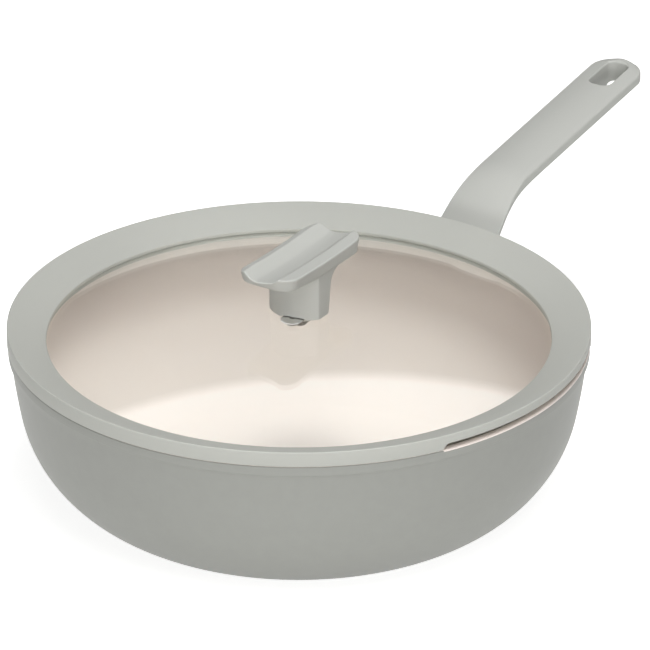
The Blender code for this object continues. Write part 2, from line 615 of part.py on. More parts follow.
def make_silicone_rim(parts, cutters):
    """Silicone rim: a band over the pan's lip, a sloping top, a skirt inside, a groove for the glass."""
    wall_inside = WALL_TOP_RADIUS - WALL + LIP_HEIGHT * math.tan(WALL_LEAN_TOP)
    skirt_top_radius = wall_inside - SKIRT_CLEARANCE
    skirt_low_radius = skirt_top_radius - SKIRT_TAPER
    skirt_low = LID_SEAT - SKIRT_DEPTH
    under_inner = RIM_INNER_RADIUS + BAND_EDGE
    lip_low = dome_height(under_inner, GLASS_THICKNESS) - SEAT_GAP
    crest = (LID_RADIUS - BAND_EDGE, LID_TOP - BAND_EDGE)
    slope = math.atan2(RIM_TOP_FALL, RIM_TOP_WIDTH)
    profile = [(RIM_INNER_RADIUS, LID_TOP - RIM_TOP_FALL)]
    profile += arc(crest, BAND_EDGE, math.pi / 2 + slope, 0.0, BAND_STEPS)
    profile += [(LID_RADIUS, LID_SEAT), (skirt_top_radius, LID_SEAT)]
    profile += [(skirt_low_radius, skirt_low + BAND_EDGE), (skirt_low_radius - BAND_EDGE, skirt_low)]
    profile += [(GROOVE_END, skirt_low), (under_inner, lip_low - RIM_LOWER_LIP), (under_inner, lip_low)]
    profile += [(GROOVE_END, dome_height(GROOVE_END, GLASS_THICKNESS) - SEAT_GAP)]
    profile += [(GROOVE_END, dome_height(GROOVE_END) + SEAT_GAP)]
    profile += [(RIM_INNER_RADIUS, dome_height(RIM_INNER_RADIUS) + SEAT_GAP)]
    rim = turned("silicone_rim", profile, BIG_STEPS, parts, finish("silicone_grey", SILICONE_GREY))
    roof = LID_SEAT + POUR_HEIGHT
    back = GROOVE_END + POUR_WALL
    over = LID_RADIUS + POUR_OVERRUN
    climb = POUR_ROOF_FALL / (LID_RADIUS - back)
    section = [(over, roof + climb * POUR_OVERRUN), (over, skirt_low - POUR_OVERRUN),
               (back, skirt_low - POUR_OVERRUN), (back, roof - POUR_ROOF_FALL)]
    for name, middle in (("pour_cut_left", math.pi / 2), ("pour_cut_right", -math.pi / 2)):
        cut = sector(name, section, middle - POUR_ANGLE / 2, POUR_ANGLE, cutters)
        boolean(rim, as_guide(cut))
    return rim


def sector(name, section, start, angle, cutters):
    """A section of (radius, height) points spun about Z through part of the circle."""
    build = bmesh.new()
    corners = [build.verts.new((r * math.cos(start), r * math.sin(start), z)) for r, z in section]
    face = build.faces.new(corners)
    bmesh.ops.spin(
        build, geom=[face] + list(face.edges) + list(face.verts), cent=(0.0, 0.0, 0.0), axis=(0.0, 0.0, 1.0),
        angle=angle, steps=POUR_CUT_STEPS)
    bmesh.ops.remove_doubles(build, verts=build.verts, dist=WELD)
    bmesh.ops.recalc_face_normals(build, faces=build.faces)
    mesh = bpy.data.meshes.new(name)
    build.to_mesh(mesh)
    build.free()
    return add_object(name, mesh, cutters)


def knob_top_edge(x):
    """Height of the knob's top edge: it dips in the middle so that fingers sit in it."""
    return KNOB_TOP + KNOB_SAG * (x / KNOB_FAR) ** 2


def knob_underside(x):
    """Height of the plate's underside, which drops from the near end to the post."""
    along = smooth_step((x + KNOB_NEAR) / KNOB_NEAR)
    return KNOB_TOP - KNOB_NEAR_DEPTH - (KNOB_FAR_DEPTH - KNOB_NEAR_DEPTH) * along


def trough_depth(y):
    """Depth of the thumb trough across the knob: steep on the right, easy on the left."""
    deepest = TROUGH_WALL - TROUGH_RIGHT
    crest = KNOB_WIDTH / 2 - KNOB_LEFT_ROUND
    if y < deepest:
        return TROUGH_DEPTH * smooth_step((y + TROUGH_RIGHT) / TROUGH_WALL)
    return TROUGH_DEPTH * math.cos(min((y - deepest) / (crest - deepest), 1.0) * math.pi / 2)


def knob_ring(x, inset):
    """One upright section across the knob's plate; inset rounds it over at the two ends."""
    half = KNOB_WIDTH / 2
    top = knob_top_edge(x) - inset * KNOB_EDGE
    under = knob_underside(x) + inset * KNOB_UNDER_EDGE
    deepest = TROUGH_WALL - TROUGH_RIGHT
    crest = half - KNOB_LEFT_ROUND
    across = [KNOB_EDGE - half, -TROUGH_RIGHT, TROUGH_WALL / 2 - TROUGH_RIGHT]
    across += [deepest + (crest - deepest) * step / TROUGH_STEPS for step in range(TROUGH_STEPS + 1)]
    ring = [(x, y, top - trough_depth(y)) for y in across]
    ring.append((x, half - KNOB_EDGE / 2, top - KNOB_EDGE))
    ring.append((x, half, top - 2 * KNOB_EDGE))
    ring.append((x, half, under + KNOB_UNDER_EDGE))
    ring.append((x, half - KNOB_UNDER_EDGE, under))
    ring.append((x, KNOB_UNDER_EDGE - half, under))
    ring.append((x, -half, under + KNOB_UNDER_EDGE))
    ring.append((x, -half, top - KNOB_EDGE))
    return ring


def make_knob_plate(parts, cutters):
    """The knob's troughed plate, cut to a plan with rounded corners."""
    near = KNOB_EDGE - KNOB_NEAR
    far = KNOB_FAR - KNOB_EDGE
    rings = [knob_ring(-KNOB_NEAR, 1.0)]
    rings += [knob_ring(near + (far - near) * step / PLATE_STEPS, 0.0) for step in range(PLATE_STEPS + 1)]
    rings.append(knob_ring(KNOB_FAR, 1.0))
    plate = loft("knob", rings, parts, finish("handle_grey", HANDLE_GREY))
    outline = block(
        "knob_outline",
        (-KNOB_NEAR, -KNOB_WIDTH / 2, KNOB_FOOT), (KNOB_FAR, KNOB_WIDTH / 2, KNOB_TOP + KNOB_HEIGHT),
        cutters, bevel=KNOB_CORNER, axis="Z", segments=CORNER_STEPS)
    boolean(plate, as_guide(outline), "INTERSECT")
    return plate


def post_ring(z, shift):
    """Plan of the knob's post at a height: flat sides and bowed ends, the far end shifted out."""
    bow = (POST_HALF_WIDTH ** 2 + POST_BULGE ** 2) / (2 * POST_BULGE)
    reach = math.asin(POST_HALF_WIDTH / bow)
    near_centre = -POST_FLAT - POST_BULGE + bow
    far_centre = POST_FLAT + POST_BULGE - bow + shift
    far = arc((far_centre, 0.0), bow, -reach, reach, BOW_STEPS)
    near = arc((near_centre, 0.0), bow, math.pi - reach, math.pi + reach, BOW_STEPS)
    return [(x, y, z) for x, y in far + near]


def make_knob(parts, cutters):
    """Moulded knob: a troughed plate on a post, hollow for its insert, arched over the vent."""
    knob = make_knob_plate(parts, cutters)
    plate_under = KNOB_TOP - KNOB_FAR_DEPTH
    post_top = plate_under + KNOB_UNDER_EDGE
    flare_base = plate_under - POST_FLARE
    levels = [(KNOB_FOOT, 0.0), (flare_base, POST_LEAN)]
    for angle in FLARE_TURNS:
        turn = math.radians(angle)
        levels.append((flare_base + POST_FLARE * math.sin(turn),
                       POST_LEAN + POST_FLARE * (1.0 - math.cos(turn))))
    levels.append((post_top, POST_LEAN + POST_FLARE))
    post = loft("knob_post", [post_ring(z, shift) for z, shift in levels], cutters)
    boolean(knob, as_guide(post), "UNION")
    seat = rod(
        "knob_gasket_seat", GASKET_RADIUS + SEAT_GAP, (0.0, 0.0, KNOB_FOOT - GLASS_THICKNESS),
        (0.0, 0.0, KNOB_FOOT + GASKET_THICKNESS + SEAT_GAP), SMALL_STEPS, cutters)
    bore = rod(
        "knob_insert_bore", INSERT_RADIUS + SEAT_GAP, (0.0, 0.0, KNOB_FOOT),
        (0.0, 0.0, INSERT_LOW + INSERT_LENGTH + SEAT_GAP), SMALL_STEPS, cutters)
    arch_half = EYELET_FLANGE + ARCH_MARGIN
    arch_radius = (arch_half ** 2 + ARCH_HEIGHT ** 2) / (2 * ARCH_HEIGHT)
    arch_axis = KNOB_FOOT + ARCH_HEIGHT - arch_radius
    arch_end = VENT_X + EYELET_FLANGE + VENT_CLEARANCE
    arch = rod(
        "knob_arch", arch_radius, (-KNOB_NEAR, VENT_Y, arch_axis), (arch_end, VENT_Y, arch_axis),
        SMALL_STEPS, cutters)
    for cutter in (seat, bore, arch):
        boolean(knob, as_guide(cutter))
    return knob


def make_knob_insert(parts):
    """Threaded brass insert moulded into the knob's post."""
    high = INSERT_LOW + INSERT_LENGTH
    bore = KNOB_SCREW_RADIUS + SCREW_CLEARANCE
    waist = INSERT_RADIUS - INSERT_GROOVE
    band = INSERT_LENGTH / 3
    profile = [(0.0, high), (INSERT_RADIUS, high), (INSERT_RADIUS, high - band),
               (waist, high - band - INSERT_GROOVE), (waist, INSERT_LOW + band + INSERT_GROOVE),
               (INSERT_RADIUS, INSERT_LOW + band), (INSERT_RADIUS, INSERT_LOW),
               (bore, INSERT_LOW), (bore, high - INSERT_CLOSED_END), (0.0, high - INSERT_CLOSED_END)]
    return turned("knob_insert", profile, SMALL_STEPS, parts, finish("brass", BRASS), closed=False)


def make_lid_fixings(parts, cutters):
    """Gaskets, washer and screw that clamp the knob to the glass."""
    silicone = finish("silicone_grey", SILICONE_GREY)
    steel = finish("steel", STEEL)
    inner = KNOB_SCREW_RADIUS + SCREW_CLEARANCE
    washer_ring("knob_gasket", GASKET_RADIUS, inner, KNOB_FOOT, GASKET_THICKNESS, parts, silicone)
    seal_low = dome_height(SEAL_RADIUS, GLASS_THICKNESS) - SEAT_GAP - SEAL_THICKNESS
    washer_ring("glass_seal", SEAL_RADIUS, inner, seal_low, SEAL_THICKNESS, parts, silicone)
    washer_low = seal_low - SEAT_GAP - KNOB_WASHER_THICKNESS
    washer_radius = KNOB_HEAD_RADIUS + KNOB_WASHER_MARGIN
    washer_ring("knob_washer", washer_radius, inner, washer_low, KNOB_WASHER_THICKNESS, parts, steel)
    make_screw(
        "knob_screw", KNOB_SCREW_RADIUS, KNOB_HEAD_RADIUS, KNOB_HEAD_HEIGHT, KNOB_HEAD_CROWN,
        washer_low - SEAT_GAP, INSERT_LOW + KNOB_SCREW_HOLD, parts, cutters)


def make_vent_eyelet(parts):
    """Rolled steel eyelet that lines the vent hole, open right through."""
    distance = math.hypot(VENT_X, VENT_Y)
    top = dome_height(distance - EYELET_FLANGE) + SEAT_GAP
    bottom = dome_height(distance + EYELET_CURL, GLASS_THICKNESS) - SEAT_GAP
    bore = EYELET_BARREL - EYELET_WALL
    half_fold = EYELET_FOLD / 2
    profile = [
        (bore, top + half_fold), (EYELET_BARREL, top + EYELET_FOLD),
        (EYELET_FLANGE - half_fold, top + EYELET_FOLD), (EYELET_FLANGE, top + half_fold),
        (EYELET_FLANGE, top), (EYELET_BARREL, top), (EYELET_BARREL, bottom), (EYELET_CURL, bottom),
        (EYELET_CURL - half_fold, bottom - EYELET_FOLD), (bore, bottom - EYELET_FOLD)]
    eyelet = turned("vent_eyelet", profile, SMALL_STEPS, parts, finish("steel", STEEL))
    eyelet.location = (VENT_X, VENT_Y, 0.0)
    return eyelet


def main():
    """Build the pan, its handle and the lid."""
    clear_scene()
    parts = new_collection("covered_wok")
    cutters = new_collection("cutters")
    make_pan_body(parts)
    make_induction_disc(parts)
    make_handle_bracket(parts, cutters)
    make_handle_grip(parts, cutters)
    make_handle_washer(parts)
    make_handle_screw(parts, cutters)
    make_lid_glass(parts, cutters)
    make_silicone_rim(parts, cutters)
    make_knob(parts, cutters)
    make_knob_insert(parts)
    make_lid_fixings(parts, cutters)
    make_vent_eyelet(parts)
    lid_lift = bpy.data.objects.new("lid_lift", None)
    parts.objects.link(lid_lift)
    lid_lift.location = (0.0, 0.0, LID_TOP)
    bpy.context.view_layer.update()
    for name in ("lid_glass", "silicone_rim", "knob", "knob_insert", "knob_gasket", "glass_seal",
                 "knob_washer", "knob_screw", "vent_eyelet"):
        piece = bpy.data.objects[name]
        piece.parent = lid_lift
        piece.matrix_parent_inverse = lid_lift.matrix_world.inverted()


main()
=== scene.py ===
# %% [markdown]
# # A covered wok, dressed for its picture
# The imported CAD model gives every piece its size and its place.
# This script keeps it as a fixed frame, builds finer pieces where the eye is close,
# and gives each surface the finish of the real one.
# Lengths are in metres, +Z is up, and the handle runs along +X.

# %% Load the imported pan
import math

import bmesh
import bpy
from mathutils import Matrix, Vector


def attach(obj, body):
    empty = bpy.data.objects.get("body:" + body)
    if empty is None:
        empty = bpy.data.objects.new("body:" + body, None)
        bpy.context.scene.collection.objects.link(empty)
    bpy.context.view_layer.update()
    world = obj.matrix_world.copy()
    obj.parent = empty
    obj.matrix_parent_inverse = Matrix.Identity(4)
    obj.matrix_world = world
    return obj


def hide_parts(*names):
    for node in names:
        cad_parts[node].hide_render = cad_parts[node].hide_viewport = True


MM = 0.001
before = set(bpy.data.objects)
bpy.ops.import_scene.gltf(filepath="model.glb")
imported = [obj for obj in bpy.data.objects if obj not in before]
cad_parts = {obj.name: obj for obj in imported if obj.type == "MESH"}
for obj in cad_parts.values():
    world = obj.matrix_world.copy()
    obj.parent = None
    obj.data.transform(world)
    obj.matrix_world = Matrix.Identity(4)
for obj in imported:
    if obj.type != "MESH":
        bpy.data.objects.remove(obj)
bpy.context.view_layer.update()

# %% [markdown]
# ## The camera
# The picture was taken from above the front, at an angle of 25.5 degrees, with a long lens.
# The pan's rim gives that angle: its circle shows as an ellipse.
# A long lens far away keeps the near side from looking larger than the far side.

# %% Camera directions on the ground
ELEVATION = math.radians(25.51)
HEADING = math.radians(57.0)
CAMERA_DISTANCE = 4.0
LID_TOP = 99.0 * MM
to_right = Vector((math.cos(HEADING), -math.sin(HEADING), 0.0))
to_back = Vector((math.sin(HEADING), math.cos(HEADING), 0.0))
UP = Vector((0.0, 0.0, 1.0))


def seen_from_camera(right, back, up):
    """A place given as the camera sees it: to its right, away from it, and up."""
    return to_right * right + to_back * back + UP * up


# %% Camera
PICTURE_SIDE = 650
PIXELS_PER_METRE = 1948.25  # at the lid
LENS_PIXELS = PIXELS_PER_METRE * CAMERA_DISTANCE
LID_LEFT_PIXELS = 26.0  # how far the lid's middle shows left of the picture's middle
LID_ABOVE_PIXELS = 2.8
SENSOR_WIDTH = 36.0
FARTHEST_SEEN = 50.0
lid_middle = Vector((0.0, 0.0, LID_TOP))
place = lid_middle + seen_from_camera(
    0.0, -CAMERA_DISTANCE * math.cos(ELEVATION), CAMERA_DISTANCE * math.sin(ELEVATION))
camera_up = seen_from_camera(0.0, math.sin(ELEVATION), math.cos(ELEVATION))
aim = lid_middle + to_right * LID_LEFT_PIXELS / PIXELS_PER_METRE
aim -= camera_up * LID_ABOVE_PIXELS / PIXELS_PER_METRE
lens = bpy.data.cameras.new("camera")
lens.sensor_width = SENSOR_WIDTH
lens.lens = LENS_PIXELS / PICTURE_SIDE * SENSOR_WIDTH
lens.clip_end = FARTHEST_SEEN
camera = bpy.data.objects.new("camera", lens)
bpy.context.scene.collection.objects.link(camera)
camera.location = place
camera.rotation_euler = (aim - place).to_track_quat("-Z", "Y").to_euler()
bpy.context.scene.camera = camera
bpy.context.scene.view_settings.view_transform = "Standard"
print("Camera lens in mm:", round(lens.lens, 1))

# %% [markdown]
# ## Nodes and colours
# Colours are written as they would be picked from a screen, in hex.
# The shader wants linear light, so one function turns them.
# One more function adds a shader node with its settings and its links.


# %% Colour and node helpers
def linear(hex_colour):
    """A screen colour such as "C0C0BC" as linear red, green, blue and alpha."""
    channels = []
    for start in (0, 2, 4):
        value = int(hex_colour[start:start + 2], 16) / 255.0
        channels.append(value / 12.92 if value <= 0.04045 else ((value + 0.055) / 1.055) ** 2.4)
    return (*channels, 1.0)


def add_node(tree, kind, inputs=None, **settings):
    """Add a shader node. inputs maps a socket's name or number to a value or to another socket."""
    node = tree.nodes.new(kind)
    for name, value in settings.items():
        setattr(node, name, value)
    for socket, value in (inputs or {}).items():
        if isinstance(value, bpy.types.NodeSocket):
            tree.links.new(value, node.inputs[socket])
        else:
            node.inputs[socket].default_value = value
    return node


def start_finish(name, colour, roughness, metallic=0.0):
    """A material with one Principled shader, and its node tree."""
    material = bpy.data.materials.new(name)
    material.use_nodes = True
    tree = material.node_tree
    shader = tree.nodes["Principled BSDF"]
    shader.inputs["Base Color"].default_value = linear(colour)
    shader.inputs["Roughness"].default_value = roughness
    shader.inputs["Metallic"].default_value = metallic
    print("Finish", name)
    return material, tree, shader


# %% [markdown]
# Some surfaces of a studio have to look different to different rays of light. A ray is asked what
# kind it is, and a material shows one of two shaders by the answer.


# %% Ray helpers
WHITE = "FFFFFF"
BLACK = "000000"
SEEN_RAYS = ("Is Camera Ray", "Is Glossy Ray", "Is Transmission Ray")


def any_ray(tree, kinds):
    """A socket that gives 1 for a ray of any of these kinds, else 0."""
    path = add_node(tree, "ShaderNodeLightPath")
    found = path.outputs[kinds[0]]
    for kind in kinds[1:]:
        either = add_node(
            tree, "ShaderNodeMath", {0: found, 1: path.outputs[kind]}, operation="MAXIMUM")
        found = either.outputs[0]
    return found


def show_either(tree, choice, first, second):
    """Show the first shader where choice is 0, and the second where it is 1."""
    either = add_node(
        tree, "ShaderNodeMixShader",
        {0: choice, 1: first.outputs["BSDF"], 2: second.outputs["BSDF"]})
    tree.links.new(either.outputs["Shader"], tree.nodes["Material Output"].inputs["Surface"])


# %% [markdown]
# ## White studio
# The object stands in a white studio. The floor is matt white, and the world is white
# to the camera, in reflections and through glass, while it lights the object only a little.
# That way the background is white without a flood of light on the object.

# %% World
AMBIENT = 0.06
world = bpy.data.worlds.new("white_studio")
world.use_nodes = True
bpy.context.scene.world = world
sky = world.node_tree
level = add_node(
    sky, "ShaderNodeMapRange", {"Value": any_ray(sky, SEEN_RAYS), "To Min": AMBIENT, "To Max": 1.0})
background = sky.nodes["Background"]
background.inputs["Color"].default_value = linear(WHITE)
sky.links.new(level.outputs[0], background.inputs["Strength"])
print("World ready, ambient level", AMBIENT)

# %% [markdown]
# The floor is a large sheet of matt white paper. From below it lets everything through,
# so that the pan's underside can be looked at, and it lies a hair under the pan.


# %% Floor
FLOOR_SIDE = 40.0
FLOOR_LEVEL = -0.1 * MM
FLOOR_GLOW = 0.80


def sheet(name, width, height, level, material):
    """A flat sheet, centred on the vertical axis at a level."""
    build = bmesh.new()
    bmesh.ops.create_grid(build, x_segments=1, y_segments=1, size=0.5)
    bmesh.ops.scale(build, vec=(width, height, 1.0), verts=build.verts)
    bmesh.ops.translate(build, vec=(0.0, 0.0, level), verts=build.verts)
    mesh = bpy.data.meshes.new(name)
    build.to_mesh(mesh)
    build.free()
    mesh.materials.append(material)
    obj = bpy.data.objects.new(name, mesh)
    bpy.context.scene.collection.objects.link(obj)
    return obj


floor_paper, tree, shader = start_finish("white_paper_floor", "DEDEDC", 0.9)
lift = add_node(
    tree, "ShaderNodeMapRange",
    {"Value": any_ray(tree, SEEN_RAYS), "To Min": 0.0, "To Max": FLOOR_GLOW})
shader.inputs["Emission Color"].default_value = linear(WHITE)
tree.links.new(lift.outputs[0], shader.inputs["Emission Strength"])
side = add_node(tree, "ShaderNodeNewGeometry")
open_below = add_node(tree, "ShaderNodeBsdfTransparent")
show_either(tree, side.outputs["Backfacing"], shader, open_below)
studio_floor = sheet("studio_floor", FLOOR_SIDE, FLOOR_SIDE, FLOOR_LEVEL, floor_paper)

# %% [markdown]
# ## Lamps
# A softbox hangs overhead, a little to the front and the right. It lights the lid's top and,
# through the glass, the pan's floor. Its place sets where the rim's shadow falls on the inner wall,
# and a much wider one round it softens the knob's shadow.
# A low one at the front left lights the wall that faces the camera, one high at the front
# lights what leans forward, and a weak one fills the faces that look to the right.

# %% Softboxes
LAMP_AIM = Vector((0.0, 0.0, 80.0 * MM))


def softbox(name, right, back, up, width, height, level):
    """A rectangular lamp that faces the pan. level is how much it lights a face turned to it."""
    lamp = bpy.data.lights.new(name, "AREA")
    lamp.shape = "RECTANGLE"
    lamp.size = width
    lamp.size_y = height
    body = bpy.data.objects.new(name, lamp)
    bpy.context.scene.collection.objects.link(body)
    body.location = seen_from_camera(right, back, up)
    towards = LAMP_AIM - body.location
    lamp.energy = level * math.pi ** 2 * towards.length_squared
    body.rotation_euler = towards.to_track_quat("-Z", "Y").to_euler()
    body.visible_glossy = False
    body.visible_transmission = False
    print("Lamp", name, "watts", round(lamp.energy, 1))
    return body


softbox("overhead_softbox", 0.15, -0.27, 1.85, 0.50, 0.50, 0.50)
softbox("overhead_wide_softbox", 0.15, -0.27, 1.90, 1.7, 1.7, 0.18)
softbox("front_softbox", -0.75, -2.20, 0.40, 1.8, 0.6, 0.46)
softbox("front_top_softbox", 0.25, -1.42, 1.75, 1.2, 0.8, 0.23)
softbox("right_fill_softbox", 1.60, -1.35, 0.60, 0.8, 0.6, 0.16)

# %% [markdown]
# ## Cards for the reflections
# Glass, steel and soft gloss show what stands around them. Three cards stand out of the picture
# and only show in reflections: a bright one high at the back, which whitens the near half of
# the glass, a grey one behind it, which keeps the far half clear, and a dark one on the right,
# which draws that side of the wall. Each is graded upwards, so that it has no hard edge.
# A ray that only passes through the glass sees none of them: the lid stays clear from all sides.


# %% Reflection cards
def reflection_card(name, right, back, low, high, width, levels, fade, roll=0.0):
    """An upright card that faces the pan.

    levels says how bright it looks below and above the fade, where 1 is white,
    and fade is the two heights above the card's lower edge between which it changes.
    """
    glow, tree, shader = start_finish(name, BLACK, 0.5)
    glow.cycles.emission_sampling = "NONE"
    shader.inputs["Specular IOR Level"].default_value = 0.0
    shader.inputs["Emission Color"].default_value = linear(WHITE)
    place = add_node(tree, "ShaderNodeTexCoord")
    parts = add_node(tree, "ShaderNodeSeparateXYZ", {0: place.outputs["Object"]})
    bottom = (low - high) / 2
    grade = add_node(
        tree, "ShaderNodeMapRange",
        {"Value": parts.outputs["Y"], "From Min": bottom + fade[0], "From Max": bottom + fade[1],
         "To Min": levels[0], "To Max": levels[1]}, interpolation_type="SMOOTHSTEP")
    tree.links.new(grade.outputs[0], shader.inputs["Emission Strength"])
    path = add_node(tree, "ShaderNodeLightPath")
    mirrored = add_node(
        tree, "ShaderNodeMath", {0: path.outputs["Glossy Depth"], 1: 0.5}, operation="GREATER_THAN")
    unseen = add_node(tree, "ShaderNodeBsdfTransparent")
    show_either(tree, mirrored.outputs[0], unseen, shader)
    card = sheet(name, width, high - low, 0.0, glow)
    card.location = seen_from_camera(right, back, (low + high) / 2)
    facing = Vector((-card.location.x, -card.location.y, 0.0)).to_track_quat("Z", "Y").to_matrix()
    card.rotation_euler = (facing @ Matrix.Rotation(roll, 3, "Z")).to_euler()
    for kind in ("camera", "diffuse", "shadow", "volume_scatter"):
        setattr(card, "visible_" + kind, False)


BRIGHT_ROLL = math.radians(-17.0)
reflection_card("bright_card", 0.10, 1.60, 1.50, 3.70, 3.6, (0.80, 2.1), (0.0, 0.12), BRIGHT_ROLL)
reflection_card("grey_card", 0.10, 1.75, 0.00, 2.40, 3.8, (0.10, 0.38), (0.40, 1.40))
reflection_card("dark_card", 1.00, 0.20, 0.00, 0.90, 1.8, (0.02, 0.02), (0.0, 0.1))

# %% [markdown]
# ## From a section to a piece
# Pan, lid and eyelet are turned shapes: one flat section, spun about the pan's axis.
# The section starts as a face with a few corners. A vertex bevel rounds the corners,
# and then only its edges are spun, so that the piece is a closed skin.

# %% Section helpers
ON_AXIS = 1e-7
MERGE_DISTANCE = 0.002 * MM


def arc(centre, radius, start, end, steps):
    """Points (radius, height) on an arc between two angles, both ends included."""
    points = []
    for step in range(steps + 1):
        angle = start + (end - start) * step / steps
        points.append((centre[0] + radius * math.cos(angle), centre[1] + radius * math.sin(angle)))
    return points


def section_of(build, outline):
    """A flat face through (radius, height) points."""
    return build.faces.new([build.verts.new((radius, 0.0, height)) for radius, height in outline])


def round_corners(build, corners, radius, segments=4):
    """Round the section's corners at the given (radius, height) points."""
    chosen = []
    for corner in corners:
        spot = Vector((corner[0], 0.0, corner[1]))
        chosen.append(min(build.verts, key=lambda vert: (vert.co - spot).length))
    bmesh.ops.bevel(
        build, geom=chosen, offset=radius, segments=segments, profile=0.5, affect="VERTICES",
        material=-1)


def turn(build, steps):
    """Spin the section's edges about the pan's axis and close the seam and the poles."""
    bmesh.ops.delete(build, geom=list(build.faces), context="FACES_ONLY")
    on_axis = [edge for edge in build.edges if all(abs(vert.co.x) < ON_AXIS for vert in edge.verts)]
    bmesh.ops.delete(build, geom=on_axis, context="EDGES")
    bmesh.ops.spin(
        build, geom=list(build.verts) + list(build.edges), cent=(0.0, 0.0, 0.0),
        axis=(0.0, 0.0, 1.0), angle=math.tau, steps=steps, use_merge=True)
    bmesh.ops.remove_doubles(build, verts=list(build.verts), dist=MERGE_DISTANCE)
    bmesh.ops.recalc_face_normals(build, faces=list(build.faces))


def through_rings(build, rings):
    """Extrude a face through a run of rings, each with as many points as the first."""
    first = build.faces.new([build.verts.new(point) for point in rings[0]])
    face = first
    for ring in rings[1:]:
        grown = bmesh.ops.extrude_face_region(build, geom=[face])
        if face is not first:
            build.faces.remove(face)
        face = next(item for item in grown["geom"] if isinstance(item, bmesh.types.BMFace))
        for vert, point in zip(face.verts, ring):
            vert.co = point
    bmesh.ops.recalc_face_normals(build, faces=list(build.faces))


def smooth_step(value):
    """Ease from 0 to 1, level at both ends."""
    value = min(max(value, 0.0), 1.0)
    return value * value * (3.0 - 2.0 * value)


# %% [markdown]
# A finished mesh becomes an object that rides on its CAD body, stands in for the plainer CAD node,
# and takes the finish the script gives it. A cutter is an object too, but it goes once it has cut.

# %% Piece helpers
SHARP = math.radians(32.0)


def smooth_but_sharp(mesh):
    """Shade a mesh smooth, with its sharp edges kept."""
    mesh.shade_smooth()
    mesh.set_sharp_from_angle(angle=SHARP)


def as_object(name, build, materials=()):
    """Turn a bmesh into an object, smooth except at sharp edges."""
    mesh = bpy.data.meshes.new(name)
    build.to_mesh(mesh)
    build.free()
    obj = bpy.data.objects.new(name, mesh)
    bpy.context.scene.collection.objects.link(obj)
    for material in materials:
        mesh.materials.append(material)
    smooth_but_sharp(mesh)
    return obj


def carve(obj, tools, operation="DIFFERENCE"):
    """Cut or join an object with others, keep the result and drop the tools."""
    for tool in tools:
        modifier = obj.modifiers.new(tool.name, "BOOLEAN")
        modifier.operation = operation
        modifier.object = tool
        modifier.solver = "EXACT"
    shaped = obj.evaluated_get(bpy.context.evaluated_depsgraph_get())
    mesh = bpy.data.meshes.new_from_object(shaped)
    obj.modifiers.clear()
    obj.data = mesh
    smooth_but_sharp(mesh)
    for tool in tools:
        bpy.data.objects.remove(tool, do_unlink=True)


def upright_rod(name, radius, x, y, low, high):
    """A plain upright cylinder to cut with."""
    build = bmesh.new()
    bmesh.ops.create_cone(
        build, cap_ends=True, segments=48, radius1=radius, radius2=radius, depth=high - low)
    bmesh.ops.translate(build, vec=(x, y, (low + high) / 2), verts=build.verts)
    return as_object(name, build)


def place_piece(obj, body, node):
    """Hang a piece on its body in place of a CAD node."""
    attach(obj, body)
    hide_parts(node)
    obj.data.calc_loop_triangles()
    print(obj.name, "on", body, "for", node, "with", len(obj.data.loop_triangles), "triangles")


# %% [markdown]
# ## Sprayed coat outside the pan
# The outside of a cast pan is sprayed with a ceramic paint and stoved.
# It is matt and a little warm. Close up, the spray leaves a very fine orange peel.
# A noise on Object coordinates, in real millimetres, drives a shallow bump,
# and a second, softer noise a faint change of tone.


# %% Sprayed coat
def fine_grain(tree, shader, grain, depth):
    """A moulded or sprayed grain: grain is its size and depth its height, both in metres."""
    place = add_node(tree, "ShaderNodeTexCoord")
    noise = add_node(
        tree, "ShaderNodeTexNoise",
        {"Vector": place.outputs["Object"], "Scale": 1.0 / grain, "Detail": 3.0, "Roughness": 0.55})
    bump = add_node(tree, "ShaderNodeBump", {"Height": noise.outputs["Fac"], "Distance": depth})
    tree.links.new(bump.outputs["Normal"], shader.inputs["Normal"])
    return place


def soft_mottle(tree, shader, place, light, dark, patch):
    """Blend two near colours over soft patches of a given size."""
    cloud = add_node(
        tree, "ShaderNodeTexNoise",
        {"Vector": place.outputs["Object"], "Scale": 1.0 / patch, "Detail": 4.0, "Roughness": 0.6})
    tone = add_node(
        tree, "ShaderNodeMix",
        {"Factor": cloud.outputs["Fac"], "A": linear(dark), "B": linear(light)}, data_type="RGBA")
    tree.links.new(tone.outputs["Result"], shader.inputs["Base Color"])


COAT_GREY = "989994"
sprayed_coat, tree, shader = start_finish("sprayed_ceramic_paint_grey", COAT_GREY, 0.48)
place = fine_grain(tree, shader, 0.9 * MM, 0.012 * MM)
soft_mottle(tree, shader, place, "9B9C97", "959691", 7.0 * MM)

# %% [markdown]
# ## Cream coat inside
# Inside is a sol-gel ceramic non-stick: cream, smooth and a little glossy.
# It runs a little before it sets, so its tone changes faintly over patches of a centimetre.

# %% Cream coat
cream_coat, tree, shader = start_finish("sol_gel_ceramic_cream", "FBEEE7", 0.32)
place = fine_grain(tree, shader, 1.6 * MM, 0.008 * MM)
soft_mottle(tree, shader, place, "FCF0E9", "F9ECE4", 10.0 * MM)

# %% [markdown]
# ## The pan
# The pan is one casting: a flat base, a round heel, a wall that leans out a little, a rolled lip.
# It is a turned shape, so its section is drawn once and spun. The heel and the wall are arcs
# that meet without a kink, and the inside follows the outside at the wall's thickness.
# The cream coat covers what faces inwards or upwards, and the lip's edge under the pouring slots.

